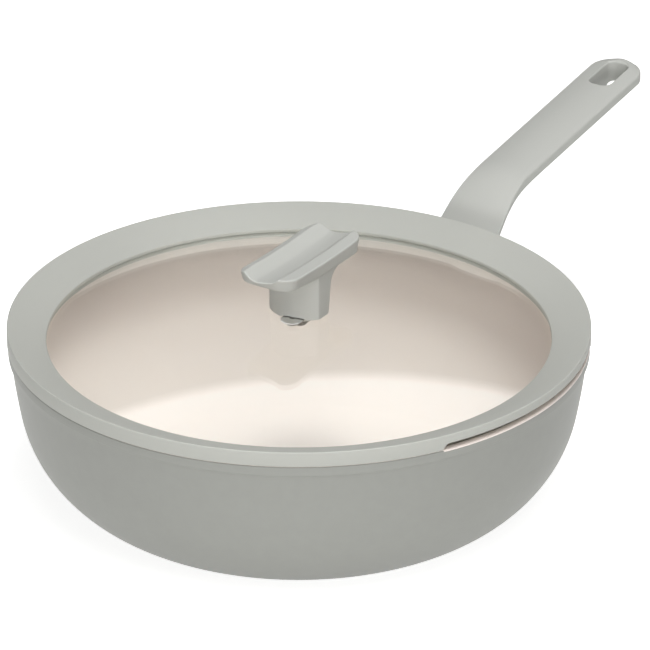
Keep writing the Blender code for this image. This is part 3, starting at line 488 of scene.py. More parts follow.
# %% Sizes of the pan
RIM_RADIUS = 149.5 * MM
PAN_HEIGHT = 90.5 * MM
LIP_HEIGHT = 5.6 * MM
LIP_OVERHANG = 1.3 * MM
LIP_ROUND = 0.9 * MM
LIP_FILLET = 0.35 * MM
WALL_LEAN_TOP = math.radians(6.0)
WALL_LEAN_LOW = math.radians(10.8)
HEEL_RADIUS = 68.9 * MM
HEEL_LEAN = math.radians(76.6)
HEEL_EDGE = 0.8 * MM
WALL = 3.6 * MM
BOTTOM = 4.5 * MM
DISC_RADIUS = 75.0 * MM
DISC_THICKNESS = 0.8 * MM
SEAT_GAP = 0.3 * MM
POUR_ANGLE = math.radians(57.0)
LIP_UNDERSIDE = PAN_HEIGHT - LIP_HEIGHT
WALL_TOP_RADIUS = RIM_RADIUS - LIP_OVERHANG


def wall_line(inset, lowest):
    """The wall and heel from the lip down to a level, set in from the outside face."""
    heel_top = HEEL_RADIUS * (math.sin(HEEL_LEAN) - math.sin(WALL_LEAN_LOW))
    sweep = (LIP_UNDERSIDE - heel_top) / (math.sin(WALL_LEAN_LOW) - math.sin(WALL_LEAN_TOP))
    sweep_x = WALL_TOP_RADIUS - sweep * math.cos(WALL_LEAN_TOP)
    sweep_z = LIP_UNDERSIDE + sweep * math.sin(WALL_LEAN_TOP)
    points = arc((sweep_x, sweep_z), sweep - inset, -WALL_LEAN_TOP, -WALL_LEAN_LOW, steps=6)
    heel_x = sweep_x + (sweep - HEEL_RADIUS) * math.cos(WALL_LEAN_LOW)
    heel_z = sweep_z - (sweep - HEEL_RADIUS) * math.sin(WALL_LEAN_LOW)
    radius = HEEL_RADIUS - inset
    low = math.asin(min((heel_z - lowest) / radius, 1.0))
    return points + arc((heel_x, heel_z), radius, -WALL_LEAN_LOW, -low, steps=28)[1:]


# %% Pan
FACES_IN = -0.02
FACES_UP = 0.85
outside = wall_line(0.0, 0.0)
inside = wall_line(WALL, BOTTOM)
inner_top = inside[0][0] + LIP_HEIGHT * math.tan(WALL_LEAN_TOP)
recess = (DISC_RADIUS + SEAT_GAP, DISC_THICKNESS + SEAT_GAP)
lip_corners = [(RIM_RADIUS, PAN_HEIGHT), (RIM_RADIUS, LIP_UNDERSIDE), (inner_top, PAN_HEIGHT)]
outline = [(0.0, recess[1]), recess, (recess[0], 0.0), *reversed(outside)]
outline += [lip_corners[1], lip_corners[0], lip_corners[2], *inside, (0.0, BOTTOM)]
build = bmesh.new()
section_of(build, outline)
round_corners(build, lip_corners, LIP_ROUND, segments=5)
round_corners(build, [outside[-1]], HEEL_EDGE)
round_corners(build, [outside[0]], LIP_FILLET, segments=3)
turn(build, 256)
for face in build.faces:
    centre = face.calc_center_median()
    outward = Vector((centre.x, centre.y, 0.0)).normalized()
    turned_in = face.normal.dot(outward) < FACES_IN
    turned_up = face.normal.z > FACES_UP
    off_spout = abs(abs(math.atan2(centre.y, centre.x)) - math.pi / 2)
    on_spout = off_spout < POUR_ANGLE / 2 and centre.z > PAN_HEIGHT - LIP_ROUND
    if centre.z > BOTTOM / 2 and (turned_in or turned_up or on_spout):
        face.material_index = 1
pan = as_object("pan", build, (sprayed_coat, cream_coat))
place_piece(pan, "pan", "pan_body")

# %% [markdown]
# ## Silicone
# Food-grade silicone is moulded and matt. It scatters light a little under its skin,
# which softens small shadows. The mould leaves a fine even texture. It is too fine to show,
# so it is drawn at about half a millimetre. The rim is tinted grey. The washer under the glass,
# which shows through it, gets a pale natural tone, lighter than the rim's grey: partly its own
# colour and partly painted light, which brightens it where the knob shades it. One function serves
# both.


# %% Silicone finish
def silicone(name, colour):
    """Moulded silicone of one colour."""
    material, tree, shader = start_finish(name, colour, 0.55)
    shader.inputs["Subsurface Weight"].default_value = 0.12
    shader.inputs["Subsurface Radius"].default_value = (1.0, 0.9, 0.8)
    shader.inputs["Subsurface Scale"].default_value = 0.8 * MM
    fine_grain(tree, shader, 0.6 * MM, 0.008 * MM)
    return material


moulded_silicone = silicone("moulded_silicone_grey", "B8B9B3")
# A pale tone: partly natural silicone, partly painted light over the knob's shade.
shade_lifted_silicone = silicone("moulded_silicone_pale_painted_light", "EFEAE2")

# %% [markdown]
# ## The lid's silicone rim
# The rim grips the edge of the glass in a groove, rests on the pan's lip with a flat band,
# and centres the lid with a skirt that hangs inside the wall. On each side the band's lower edge
# is cut away over a sixth of the way round or so: these are the pouring slots.

# %% Sizes of the lid
LID_RADIUS = 150.0 * MM
BAND_HEIGHT = 8.2 * MM
BAND_EDGE = 0.8 * MM
RIM_TOP_WIDTH = 20.2 * MM
RIM_TOP_FALL = 7.2 * MM
RIM_INNER_ROUND = 0.5 * MM
RIM_UPPER_LIP = 1.4 * MM
RIM_LOWER_LIP = 1.7 * MM
GLASS_BITE = 7.5 * MM
GRIP_GAP = 0.04 * MM
SKIRT_GAP = 1.0 * MM
SKIRT_DEPTH = 9.8 * MM
SKIRT_TAPER = 1.4 * MM
SKIRT_ROUND = 0.9 * MM
GLASS_THICKNESS = 4.0 * MM
DOME_RISE = 15.8 * MM
LID_SEAT = LID_TOP - BAND_HEIGHT
RIM_INNER = LID_RADIUS - RIM_TOP_WIDTH
GROOVE_END = RIM_INNER + GLASS_BITE
DOME_RADIUS = (RIM_INNER ** 2 + DOME_RISE ** 2) / (2 * DOME_RISE)
GLASS_TOP = LID_TOP - RIM_TOP_FALL - RIM_UPPER_LIP - SEAT_GAP + DOME_RISE


def dome(radius, below=0.0):
    """Height of the glass at a radius, or of a skin that far below its top face."""
    return GLASS_TOP - DOME_RADIUS + math.sqrt((DOME_RADIUS - below) ** 2 - radius ** 2)


# %% Rim section
skirt_top = inner_top - SKIRT_GAP
skirt_low = (skirt_top - SKIRT_TAPER, LID_SEAT - SKIRT_DEPTH)
under_inner = RIM_INNER + BAND_EDGE
lip_low = dome(under_inner, GLASS_THICKNESS) - GRIP_GAP
top_inner = (RIM_INNER, LID_TOP - RIM_TOP_FALL)
crest = (LID_RADIUS, LID_TOP)
foot = (LID_RADIUS, LID_SEAT)
outline = [top_inner, crest, foot, (skirt_top, LID_SEAT), skirt_low, (GROOVE_END, skirt_low[1])]
outline += [(under_inner, lip_low - RIM_LOWER_LIP), (under_inner, lip_low)]
outline += [(GROOVE_END, dome(GROOVE_END, GLASS_THICKNESS) - SEAT_GAP)]
outline += [(GROOVE_END, dome(GROOVE_END) + SEAT_GAP), (RIM_INNER, dome(RIM_INNER) + GRIP_GAP)]
build = bmesh.new()
section_of(build, outline)
round_corners(build, [crest], BAND_EDGE, segments=6)
round_corners(build, [top_inner], RIM_INNER_ROUND)
round_corners(build, [foot], LIP_FILLET, segments=3)
round_corners(build, [skirt_low], SKIRT_ROUND)
turn(build, 288)
rim = as_object("silicone_rim_fine", build, (moulded_silicone,))
print("Rim turned, faces:", len(rim.data.polygons))

# %% [markdown]
# The slots are cut with a wedge that is spun only part of the way round.
# Its roof comes down at each end, so that the slot runs out to a point.

# %% Pouring slots
POUR_HEIGHT = 3.3 * MM
POUR_ROOF_FALL = 2.9 * MM
POUR_WALL = 3.0 * MM
POUR_RUN_OUT = math.radians(1.2)
POUR_EASE = 1.3
OVERRUN = 4.0 * MM


def pouring_cut(name, middle):
    """The wedge that cuts one slot, centred on an angle about the lid's axis."""
    roof = LID_SEAT + POUR_HEIGHT
    back = GROOVE_END + POUR_WALL
    over = LID_RADIUS + OVERRUN
    climb = POUR_ROOF_FALL / (LID_RADIUS - back)
    low = skirt_low[1] - OVERRUN
    corners = [(over, roof + climb * OVERRUN), (over, low), (back, low)]
    corners += [(back, roof - POUR_ROOF_FALL)]
    build = bmesh.new()
    face = section_of(build, corners)
    bmesh.ops.rotate(
        build, cent=(0.0, 0.0, 0.0), matrix=Matrix.Rotation(middle - POUR_ANGLE / 2, 3, "Z"),
        verts=build.verts)
    bmesh.ops.spin(
        build, geom=[face, *face.edges, *face.verts], cent=(0.0, 0.0, 0.0), axis=(0.0, 0.0, 1.0),
        angle=POUR_ANGLE, steps=114)
    bmesh.ops.remove_doubles(build, verts=list(build.verts), dist=MERGE_DISTANCE)
    for vert in build.verts:
        if vert.co.z > low + OVERRUN:
            away = abs((math.atan2(vert.co.y, vert.co.x) - middle + math.pi) % math.tau - math.pi)
            left = (POUR_ANGLE / 2 - away) / POUR_RUN_OUT
            vert.co.z -= POUR_HEIGHT * max(1.0 - left, 0.0) ** POUR_EASE
    bmesh.ops.recalc_face_normals(build, faces=list(build.faces))
    return as_object(name, build)


carve(rim, [pouring_cut("pour_left", math.pi / 2), pouring_cut("pour_right", -math.pi / 2)])
place_piece(rim, "lid", "silicone_rim")

# %% [markdown]
# ## Toughened glass
# Soda-lime glass, ground round its edge. It is clear with a trace of green, and toughening
# leaves the faintest waves in it. Lamps have to light the inside of the pan, so for shadow rays,
# and for light that bounces between matt surfaces, a Transparent shader takes the glass's place.

# %% Glass finish
GLASS_TINT = "FBFDFC"
lid_pane, tree, shader = start_finish("toughened_soda_lime_glass", GLASS_TINT, 0.0)
shader.inputs["IOR"].default_value = 1.5
shader.inputs["Transmission Weight"].default_value = 1.0
fine_grain(tree, shader, 60.0 * MM, 0.004 * MM)
lets_light_by = any_ray(tree, ("Is Shadow Ray", "Is Diffuse Ray"))
clear = add_node(tree, "ShaderNodeBsdfTransparent", {"Color": linear(GLASS_TINT)})
show_either(tree, lets_light_by, shader, clear)

# %% [markdown]
# ## The glass
# The pane is a shallow dome, part of a ball, with a hole for the knob's screw and one for the vent.
# It could be cut from a sphere, but a turned section gives both skins, the screw's hole
# and the round ground edge in one go. Only the vent, off the axis, has to be cut.

# %% Pane
SCREW_HOLE = 3.2 * MM
GROUND_EDGE = 1.2 * MM
VENT = (-11.5 * MM, -3.5 * MM)
EYELET_BARREL = 2.7 * MM
PANE_STEPS = 40
pane_edge = GROOVE_END - SEAT_GAP
pane_width = pane_edge - SCREW_HOLE
stops = [SCREW_HOLE + pane_width * step / PANE_STEPS for step in range(PANE_STEPS + 1)]
outline = [(radius, dome(radius)) for radius in stops]
outline += [(radius, dome(radius, GLASS_THICKNESS)) for radius in reversed(stops)]
build = bmesh.new()
section_of(build, outline)
round_corners(build, [outline[PANE_STEPS], outline[PANE_STEPS + 1]], GROUND_EDGE)
turn(build, 192)
pane = as_object("glass_pane", build, (lid_pane,))
vent_hole = upright_rod(
    "vent_hole", EYELET_BARREL + SEAT_GAP, *VENT,
    GLASS_TOP - 3 * GLASS_THICKNESS, GLASS_TOP + GLASS_THICKNESS)
carve(pane, [vent_hole])
place_piece(pane, "lid", "lid_glass")

# %% [markdown]
# ## Handle and knob finish
# Both are compression-moulded phenolic with a soft-touch paint: matt, even and a little lighter
# than the pan. The mould is spark-eroded, which gives a grain of about a third of a millimetre.
# It is drawn a little coarser, so that it shows.

# %% Soft-touch finish
soft_touch, tree, shader = start_finish("soft_touch_phenolic_grey", "BDBEB9", 0.5)
fine_grain(tree, shader, 0.45 * MM, 0.010 * MM)

# %% [markdown]
# ## The handle
# Its top line leaves the wall, climbs clear of the lid and runs out nearly straight.
# It is wide and deep at the root, and even along the grip. A curve could carry one fixed
# section, but this section changes all the way. So it starts as a face, extruded from ring
# to ring along that line, and each ring is given its own width and depth.

# %% Sizes of the handle
HANDLE_REACH = 325.2 * MM
BRACKET_FACE = RIM_RADIUS + 2.0 * MM
ROOT_TOP = LIP_UNDERSIDE - 4.0 * MM
ROOT_SLOPE = math.radians(10.0)
ROOT_CURVE = 20.0 * MM
RISER_SLOPE = math.radians(40.0)
RISER_LENGTH = 16.1 * MM
BEND_CURVE = 60.0 * MM
GRIP_SLOPE = math.radians(7.9)
ROOT_WIDTH = 38.6 * MM
GRIP_WIDTH = 30.2 * MM
ROOT_DEPTH = 24.0 * MM
GRIP_DEPTH = 15.4 * MM
TIP_DEPTH = 14.6 * MM
ROOT_SIDE = 3.0 * MM
GRIP_SIDE = 5.0 * MM
GRIP_CROWN = 1.5 * MM
GRIP_EDGE = 1.2 * MM
TIP_CORNER = 11.5 * MM
TIP_RISE = 1.6
TAPER_LENGTH = 54.0 * MM
DEPTH_START = 18.0 * MM
SIDE_START = 22.0 * MM
SIDE_LENGTH = 30.0 * MM


def handle_line():
    """Points (x, z) along the middle of the handle's top edge line, from root to tip."""
    x, z = BRACKET_FACE, ROOT_TOP
    points = [(x + SEAT_GAP, z + SEAT_GAP * math.tan(ROOT_SLOPE))]
    centre = (x - ROOT_CURVE * math.sin(ROOT_SLOPE), z + ROOT_CURVE * math.cos(ROOT_SLOPE))
    points += arc(
        centre, ROOT_CURVE, ROOT_SLOPE - math.pi / 2, RISER_SLOPE - math.pi / 2, steps=12)[1:]
    x, z = points[-1]
    for step in range(1, 9):
        run = RISER_LENGTH * step / 8
        points.append((x + run * math.cos(RISER_SLOPE), z + run * math.sin(RISER_SLOPE)))
    x, z = points[-1]
    centre = (x + BEND_CURVE * math.sin(RISER_SLOPE), z - BEND_CURVE * math.cos(RISER_SLOPE))
    points += arc(
        centre, BEND_CURVE, RISER_SLOPE + math.pi / 2, GRIP_SLOPE + math.pi / 2, steps=24)[1:]
    x, z = points[-1]
    corner_start = HANDLE_REACH - TIP_CORNER
    stops = [x + (corner_start - x) * step / 36 for step in range(1, 37)]
    quarter = [math.pi / 2 * step / 20 for step in range(1, 21)]
    stops += [corner_start + TIP_CORNER * math.sin(angle) for angle in quarter]
    points += [(stop, z + (stop - x) * math.tan(GRIP_SLOPE)) for stop in stops]
    return points


def handle_half_width(x):
    """Half the width: wide at the root, even along the grip, round at the tip."""
    blend = smooth_step((RIM_RADIUS + TAPER_LENGTH - x) / TAPER_LENGTH)
    half = (GRIP_WIDTH + (ROOT_WIDTH - GRIP_WIDTH) * blend) / 2
    past = max(x - (HANDLE_REACH - TIP_CORNER), 0.0)
    return half - TIP_CORNER + math.sqrt(max(TIP_CORNER ** 2 - past ** 2, 0.0))


def handle_side(x):
    """Height of the flat side."""
    to_grip = smooth_step((x - RIM_RADIUS - SIDE_START) / SIDE_LENGTH)
    return ROOT_SIDE + (GRIP_SIDE - ROOT_SIDE) * to_grip


def handle_belly(x):
    """How far the round underside hangs below the flat sides."""
    start = RIM_RADIUS + DEPTH_START
    to_grip = smooth_step((x - start) / TAPER_LENGTH)
    to_tip = smooth_step((x - start) / (HANDLE_REACH - start))
    depth = ROOT_DEPTH + (GRIP_DEPTH - ROOT_DEPTH) * to_grip + (TIP_DEPTH - GRIP_DEPTH) * to_tip
    return (depth - handle_side(x)) * min(handle_half_width(x) / (GRIP_WIDTH / 2), 1.0)


def edge_drop(distance, radius):
    """How far a rounded edge has fallen at a distance in from it."""
    if distance >= radius:
        return 0.0
    return radius - math.sqrt(max(radius ** 2 - (radius - distance) ** 2, 0.0))


def handle_ring(x, z):
    """One upright section: crowned top, rounded edges, flat sides, round underside."""
    half = handle_half_width(x)
    low_side = z - handle_side(x)
    drop = edge_drop(HANDLE_REACH - x, GRIP_EDGE)
    top = z - drop
    ring = []
    for step in range(21):
        share = 2 * step / 20 - 1.0
        ring.append((x, share * (half - GRIP_EDGE), top + GRIP_CROWN * (1.0 - share ** 2)))
    edge = []
    for step in range(1, 6):
        angle = math.pi / 2 * step / 5
        y = half - GRIP_EDGE + GRIP_EDGE * math.sin(angle)
        edge.append((y, top - GRIP_EDGE * (1.0 - math.cos(angle))))
    ring += [(x, y, height) for y, height in edge]
    for step in range(33):
        share = 1.0 - 2 * step / 32
        belly = handle_belly(x) * math.cos(share * math.pi / 2)
        ring.append((x, share * half, low_side - belly + TIP_RISE * drop))
    ring += [(x, -y, height) for y, height in reversed(edge)]
    return ring


# %% Handle body
line = handle_line()
build = bmesh.new()
through_rings(build, [handle_ring(x, z) for x, z in line])
grip = as_object("handle_fine", build, (soft_touch,))
print("Handle sections:", len(line))

# %% [markdown]
# The hanging slot has rounded ends and a soft edge all round its mouth.
# Its cutter is a rounded rectangle that is extruded up through the handle and flares out
# like a trumpet where it passes the top face.

# %% Hanging slot
SLOT_LENGTH = 25.0 * MM
SLOT_WIDTH = 13.0 * MM
SLOT_CORNER = 4.5 * MM
SLOT_FROM_TIP = 4.0 * MM
SLOT_LIP = 1.3 * MM
SLOT_FLARE = 2.4
SLOT_SINK = 0.2 * MM


def rounded_rectangle(length, width, corner, grow, z):
    """A rounded rectangle about the origin, grown outwards by a margin, at a height."""
    ring = []
    for quarter, (side_x, side_y) in enumerate(((1, 1), (-1, 1), (-1, -1), (1, -1))):
        centre = (side_x * (length / 2 - corner), side_y * (width / 2 - corner))
        start = quarter * math.pi / 2
        bend = arc(centre, corner + grow, start, start + math.pi / 2, steps=8)
        ring += [(x, y, z) for x, y in bend]
    return ring


slot_x = HANDLE_REACH - SLOT_FROM_TIP - SLOT_LENGTH / 2
slot_z = line[-1][1] - (HANDLE_REACH - slot_x) * math.tan(GRIP_SLOPE)
mouth = GRIP_CROWN - SLOT_SINK
levels = [(-2 * TIP_DEPTH, 0.0), (mouth - SLOT_LIP, 0.0)]
for step in range(1, 6):
    angle = math.pi / 2 * step / 6
    levels.append((mouth - SLOT_LIP * (1.0 - math.sin(angle)), SLOT_LIP * (1.0 - math.cos(angle))))
levels.append((mouth + 2 * SLOT_LIP, SLOT_FLARE * SLOT_LIP))
build = bmesh.new()
through_rings(
    build, [rounded_rectangle(SLOT_LENGTH, SLOT_WIDTH, SLOT_CORNER, grow, z) for z, grow in levels])
tilt = Matrix.Rotation(-GRIP_SLOPE, 3, "Y")
bmesh.ops.rotate(build, cent=(0.0, 0.0, 0.0), matrix=tilt, verts=build.verts)
bmesh.ops.translate(build, vec=(slot_x, 0.0, slot_z), verts=build.verts)
slot_cut = as_object("slot_cut", build)
print("Slot's middle in mm:", round(slot_x / MM, 1), round(slot_z / MM, 1))

# %% [markdown]
# Below the root the handle hides its fixing: a pocket for the bracket's tongue,
# and from below a stepped hole for the screw and its washer.

# %% Pocket and screw hole
TONGUE_LENGTH = 14.5 * MM
TONGUE_WIDTH = 14.0 * MM
TONGUE_THICKNESS = 8.0 * MM
TONGUE_TOP = ROOT_TOP - 4.0 * MM
TONGUE_BOTTOM = TONGUE_TOP - TONGUE_THICKNESS
SOCKET_CLEARANCE = 0.4 * MM
SCREW_SHELF = 3.2 * MM
SCREW_WAY = 3.3 * MM
WASHER_WAY = 6.2 * MM
SCREW_X = BRACKET_FACE + TONGUE_LENGTH / 2
WASHER_TOP = TONGUE_BOTTOM - SOCKET_CLEARANCE - SCREW_SHELF - SEAT_GAP
build = bmesh.new()
bmesh.ops.create_cube(build, size=1.0)
size = (2 * TONGUE_LENGTH + SOCKET_CLEARANCE, TONGUE_WIDTH + 2 * SOCKET_CLEARANCE,
        TONGUE_TOP - TONGUE_BOTTOM + 2 * SOCKET_CLEARANCE)
bmesh.ops.scale(build, vec=size, verts=build.verts)
pocket_middle = (BRACKET_FACE + SOCKET_CLEARANCE / 2, 0.0, (TONGUE_TOP + TONGUE_BOTTOM) / 2)
bmesh.ops.translate(build, vec=pocket_middle, verts=build.verts)
pocket = as_object("tongue_pocket", build)
screw_way = upright_rod("screw_way", SCREW_WAY, SCREW_X, 0.0, 0.0, TONGUE_BOTTOM + SEAT_GAP)
washer_way = upright_rod("washer_way", WASHER_WAY, SCREW_X, 0.0, 0.0, WASHER_TOP + SEAT_GAP)
carve(grip, [slot_cut, pocket, screw_way, washer_way])
place_piece(grip, "pan", "handle_grip")

# %% [markdown]
# ## The knob
# The knob is a plate on a post. The plate dips in the middle along its length, and across it
# runs a trough for the fingers: a step down from the strip on the right, a slow fall to the
# deepest line, and an easy rise to the left edge.
# It could be sculpted, but then no size would be known. Here a grid gives the plate's top,
# extruded down for its sides and its underside, and each point is moved to where the trough,
# the dip and the rounded edges want it.

# %% Sizes of the knob
KNOB_HEIGHT = 31.6 * MM
KNOB_FOOT = GLASS_TOP + SEAT_GAP
KNOB_TOP = KNOB_FOOT + KNOB_HEIGHT
KNOB_NEAR = 35.0 * MM
KNOB_FAR = 37.5 * MM
KNOB_WIDTH = 33.6 * MM
KNOB_CORNER = 9.4 * MM
KNOB_SAG = 1.4 * MM
KNOB_NEAR_DEPTH = 5.7 * MM
KNOB_FAR_DEPTH = 7.6 * MM
KNOB_EDGE = 0.7 * MM
KNOB_UNDER_EDGE = 0.9 * MM
KNOB_DRAFT = 0.7 * MM
KNOB_LEFT_ROUND = 5.5 * MM
LEFT_BAND_SLOPE = 0.40
TROUGH_RIGHT = 9.8 * MM
TROUGH_STEP = 3.2 * MM
STEP_DEPTH = 2.2 * MM
TROUGH_LOW = 3.5 * MM
TROUGH_DEPTH = 3.9 * MM
HALF_LENGTH = (KNOB_NEAR + KNOB_FAR) / 2
HALF_WIDTH = KNOB_WIDTH / 2
KNOB_MIDDLE = (KNOB_FAR - KNOB_NEAR) / 2


def trough(y):
    """Depth of the trough across the plate: a step down, a slow fall, then the rise."""
    step_foot = TROUGH_STEP - TROUGH_RIGHT
    left_crest = HALF_WIDTH - KNOB_LEFT_ROUND
    if y < step_foot:
        return STEP_DEPTH * max(1.0 - (step_foot - y) / TROUGH_STEP, 0.0)
    if y < TROUGH_LOW:
        share = (y - step_foot) / (TROUGH_LOW - step_foot)
        return STEP_DEPTH + (TROUGH_DEPTH - STEP_DEPTH) * math.sin(share * math.pi / 2)
    share = min((y - TROUGH_LOW) / (left_crest - TROUGH_LOW), 1.0)
    return TROUGH_DEPTH * math.cos(share * math.pi / 2)


def plate_underside(x):
    """Height of the plate's underside, which drops from the near end to the post."""
    along = smooth_step((x + KNOB_NEAR) / KNOB_NEAR)
    return KNOB_TOP - KNOB_NEAR_DEPTH - (KNOB_FAR_DEPTH - KNOB_NEAR_DEPTH) * along


def from_edge(x, y):
    """Distance in from the plate's outline, a rectangle with round corners."""
    over_x = abs(x) - (HALF_LENGTH - KNOB_CORNER)
    over_y = abs(y) - (HALF_WIDTH - KNOB_CORNER)
    outer = math.hypot(max(over_x, 0.0), max(over_y, 0.0))
    return max(KNOB_CORNER - outer - min(max(over_x, over_y), 0.0), 0.0)


def into_corner(x, y):
    """Move a point of a plain rectangle to the rectangle with round corners."""
    over_x = (abs(x) - (HALF_LENGTH - KNOB_CORNER)) / KNOB_CORNER
    over_y = (abs(y) - (HALF_WIDTH - KNOB_CORNER)) / KNOB_CORNER
    if over_x > 0.0 and over_y > 0.0:
        new_x = HALF_LENGTH - KNOB_CORNER + KNOB_CORNER * over_x * math.sqrt(1.0 - over_y ** 2 / 2)
        new_y = HALF_WIDTH - KNOB_CORNER + KNOB_CORNER * over_y * math.sqrt(1.0 - over_x ** 2 / 2)
        return math.copysign(new_x, x), math.copysign(new_y, y)
    return x, y


def crowd_to_ends(value, power):
    """Move a share between -1 and 1 towards its nearer end, to put more points there."""
    return math.copysign(1.0 - (1.0 - min(abs(value), 1.0)) ** power, value)


# %% Knob plate
build = bmesh.new()
bmesh.ops.create_grid(build, x_segments=96, y_segments=72, size=1.0)
grown = bmesh.ops.extrude_face_region(build, geom=list(build.faces))
under = [item for item in grown["geom"] if isinstance(item, bmesh.types.BMVert)]
bmesh.ops.translate(build, vec=(0.0, 0.0, -1.0), verts=under)
sides = [edge for edge in build.edges if abs(edge.verts[0].co.z - edge.verts[1].co.z) > 0.5]
bmesh.ops.subdivide_edges(build, edges=sides, cuts=6)
for vert in build.verts:
    height = 1.0 + vert.co.z
    x = HALF_LENGTH * crowd_to_ends(vert.co.x, power=1.6)
    y = HALF_WIDTH * crowd_to_ends(vert.co.y, power=1.3)
    x, y = into_corner(x, y)
    inward = from_edge(x, y)
    left_lip = smooth_step(y / HALF_WIDTH * 2.0 - 1.0)
    slope = LEFT_BAND_SLOPE * left_lip * max(KNOB_LEFT_ROUND - inward, 0.0)
    draft = KNOB_DRAFT * (1.0 - height)
    x = x * (1.0 - draft / HALF_LENGTH) + KNOB_MIDDLE
    y *= 1.0 - draft / HALF_WIDTH
    top = KNOB_TOP + KNOB_SAG * (x / KNOB_FAR) ** 2 - trough(y)
    top = top - edge_drop(inward, KNOB_EDGE) - slope
    low = plate_underside(x) + edge_drop(inward, KNOB_UNDER_EDGE)
    vert.co = (x, y, low + (top - low) * height)
bmesh.ops.recalc_face_normals(build, faces=list(build.faces))
knob = as_object("knob_fine", build, (soft_touch,))
print("Plate faces:", len(knob.data.polygons))

# %% [markdown]
# The post is a flat oval with bowed ends. On the far side it leans out and flares into the plate.
# Its upright corners are softened, and an arch in its foot leaves room for the steam vent.

# %% Knob post
POST_HALF_WIDTH = 15.2 * MM
POST_FLAT = 4.6 * MM
POST_BULGE = 7.3 * MM
POST_LEAN = 1.9 * MM
POST_FLARE = 10.0 * MM
POST_SOFT = 0.9 * MM
LEAN_STEPS = 8
FLARE_STEPS = 17


def softened(before, corner, after):
    """A small curve in place of a corner."""
    points = []
    for step in range(5):
        share = step / 4
        first = tuple(a + (b - a) * share for a, b in zip(before, corner))
        second = tuple(b + (c - b) * share for b, c in zip(corner, after))
        points.append(tuple(a + (b - a) * share for a, b in zip(first, second)))
    return points


def post_ring(z, shift):
    """Plan of the post at a height, the far end shifted out."""
    bow = (POST_HALF_WIDTH ** 2 + POST_BULGE ** 2) / (2 * POST_BULGE)
    reach = math.asin(POST_HALF_WIDTH / bow)
    trim = POST_SOFT / bow
    near_x = bow - POST_FLAT - POST_BULGE
    far_x = POST_FLAT + POST_BULGE - bow + shift
    far = arc((far_x, 0.0), bow, trim - reach, reach - trim, steps=18)
    near = arc((near_x, 0.0), bow, math.pi - reach + trim, math.pi + reach - trim, steps=18)
    far_flat = POST_FLAT + shift
    outline = far
    outline += softened(
        far[-1], (far_flat, POST_HALF_WIDTH), (far_flat - POST_SOFT, POST_HALF_WIDTH))[1:]
    outline += softened(
        (POST_SOFT - POST_FLAT, POST_HALF_WIDTH), (-POST_FLAT, POST_HALF_WIDTH), near[0])[:-1]
    outline += near
    outline += softened(
        near[-1], (-POST_FLAT, -POST_HALF_WIDTH), (POST_SOFT - POST_FLAT, -POST_HALF_WIDTH))[1:]
    outline += softened(
        (far_flat - POST_SOFT, -POST_HALF_WIDTH), (far_flat, -POST_HALF_WIDTH), far[0])[:-1]
    return [(x, y, z) for x, y in outline]


plate_low = KNOB_TOP - KNOB_FAR_DEPTH
flare_base = plate_low - POST_FLARE
levels = []
for step in range(LEAN_STEPS + 1):
    climb = (flare_base - KNOB_FOOT) * step / LEAN_STEPS
    levels.append((KNOB_FOOT + climb, POST_LEAN * step / LEAN_STEPS))
for step in range(1, FLARE_STEPS):
    angle = math.pi / 2 * step / FLARE_STEPS
    spread = POST_FLARE * (1.0 - math.cos(angle))
    levels.append((flare_base + POST_FLARE * math.sin(angle), POST_LEAN + spread))
levels.append((plate_low + KNOB_UNDER_EDGE, POST_LEAN + POST_FLARE))
build = bmesh.new()
through_rings(build, [post_ring(z, shift) for z, shift in levels])
post = as_object("knob_post", build, (soft_touch,))
carve(knob, [post], "UNION")
print("Plate and post joined, faces:", len(knob.data.polygons))

# %% Knob bores and vent arch
INSERT_RADIUS = 4.0 * MM
INSERT_LENGTH = 14.0 * MM
GASKET_RADIUS = 4.7 * MM
GASKET_THICKNESS = 1.2 * MM
ARCH_HALF = 6.9 * MM
ARCH_HEIGHT = 1.3 * MM
ARCH_PAST_VENT = 6.4 * MM
insert_top = KNOB_FOOT + GASKET_THICKNESS + 2 * SEAT_GAP + INSERT_LENGTH
seat_cut = upright_rod(
    "gasket_seat", GASKET_RADIUS + SEAT_GAP, 0.0, 0.0, KNOB_FOOT - GLASS_THICKNESS,
    KNOB_FOOT + GASKET_THICKNESS + SEAT_GAP)
bore_cut = upright_rod(
    "insert_bore", INSERT_RADIUS + SEAT_GAP, 0.0, 0.0, KNOB_FOOT, insert_top + SEAT_GAP)
arch_end = VENT[0] + ARCH_PAST_VENT
build = bmesh.new()
bmesh.ops.create_cone(
    build, cap_ends=True, segments=64, radius1=1.0, radius2=1.0, depth=arch_end + KNOB_NEAR)
lie_down = Matrix.Rotation(math.pi / 2, 3, "Y")
bmesh.ops.rotate(build, cent=(0.0, 0.0, 0.0), matrix=lie_down, verts=build.verts)
bmesh.ops.scale(build, vec=(1.0, ARCH_HALF, ARCH_HEIGHT), verts=build.verts)
arch_middle = ((arch_end - KNOB_NEAR) / 2, VENT[1], KNOB_FOOT)
bmesh.ops.translate(build, vec=arch_middle, verts=build.verts)
arch_cut = as_object("vent_arch", build)
carve(knob, [seat_cut, bore_cut, arch_cut])
place_piece(knob, "lid", "knob")

# %% [markdown]
# ## Steam vent
# A small stainless eyelet is rolled over the edges of the vent hole from above and below.
# Its flange is a shallow crown with a round edge, and it rises to just under the arch in the post.
# Its finish is satin, and its colour is set lighter than the fixings' steel: a painted glint,
# so that it reads bright in the shade under the post. The real texture is too fine to show,
# so it is drawn at half a millimetre.

# %% Satin steel
# Lighter than the fixings' steel: painted light for the eyelet's glint.
satin_steel_painted_glint, tree, shader = start_finish("stainless_steel_satin_painted_glint", "E4E3E0", 0.3, metallic=1.0)
fine_grain(tree, shader, 0.5 * MM, 0.002 * MM)

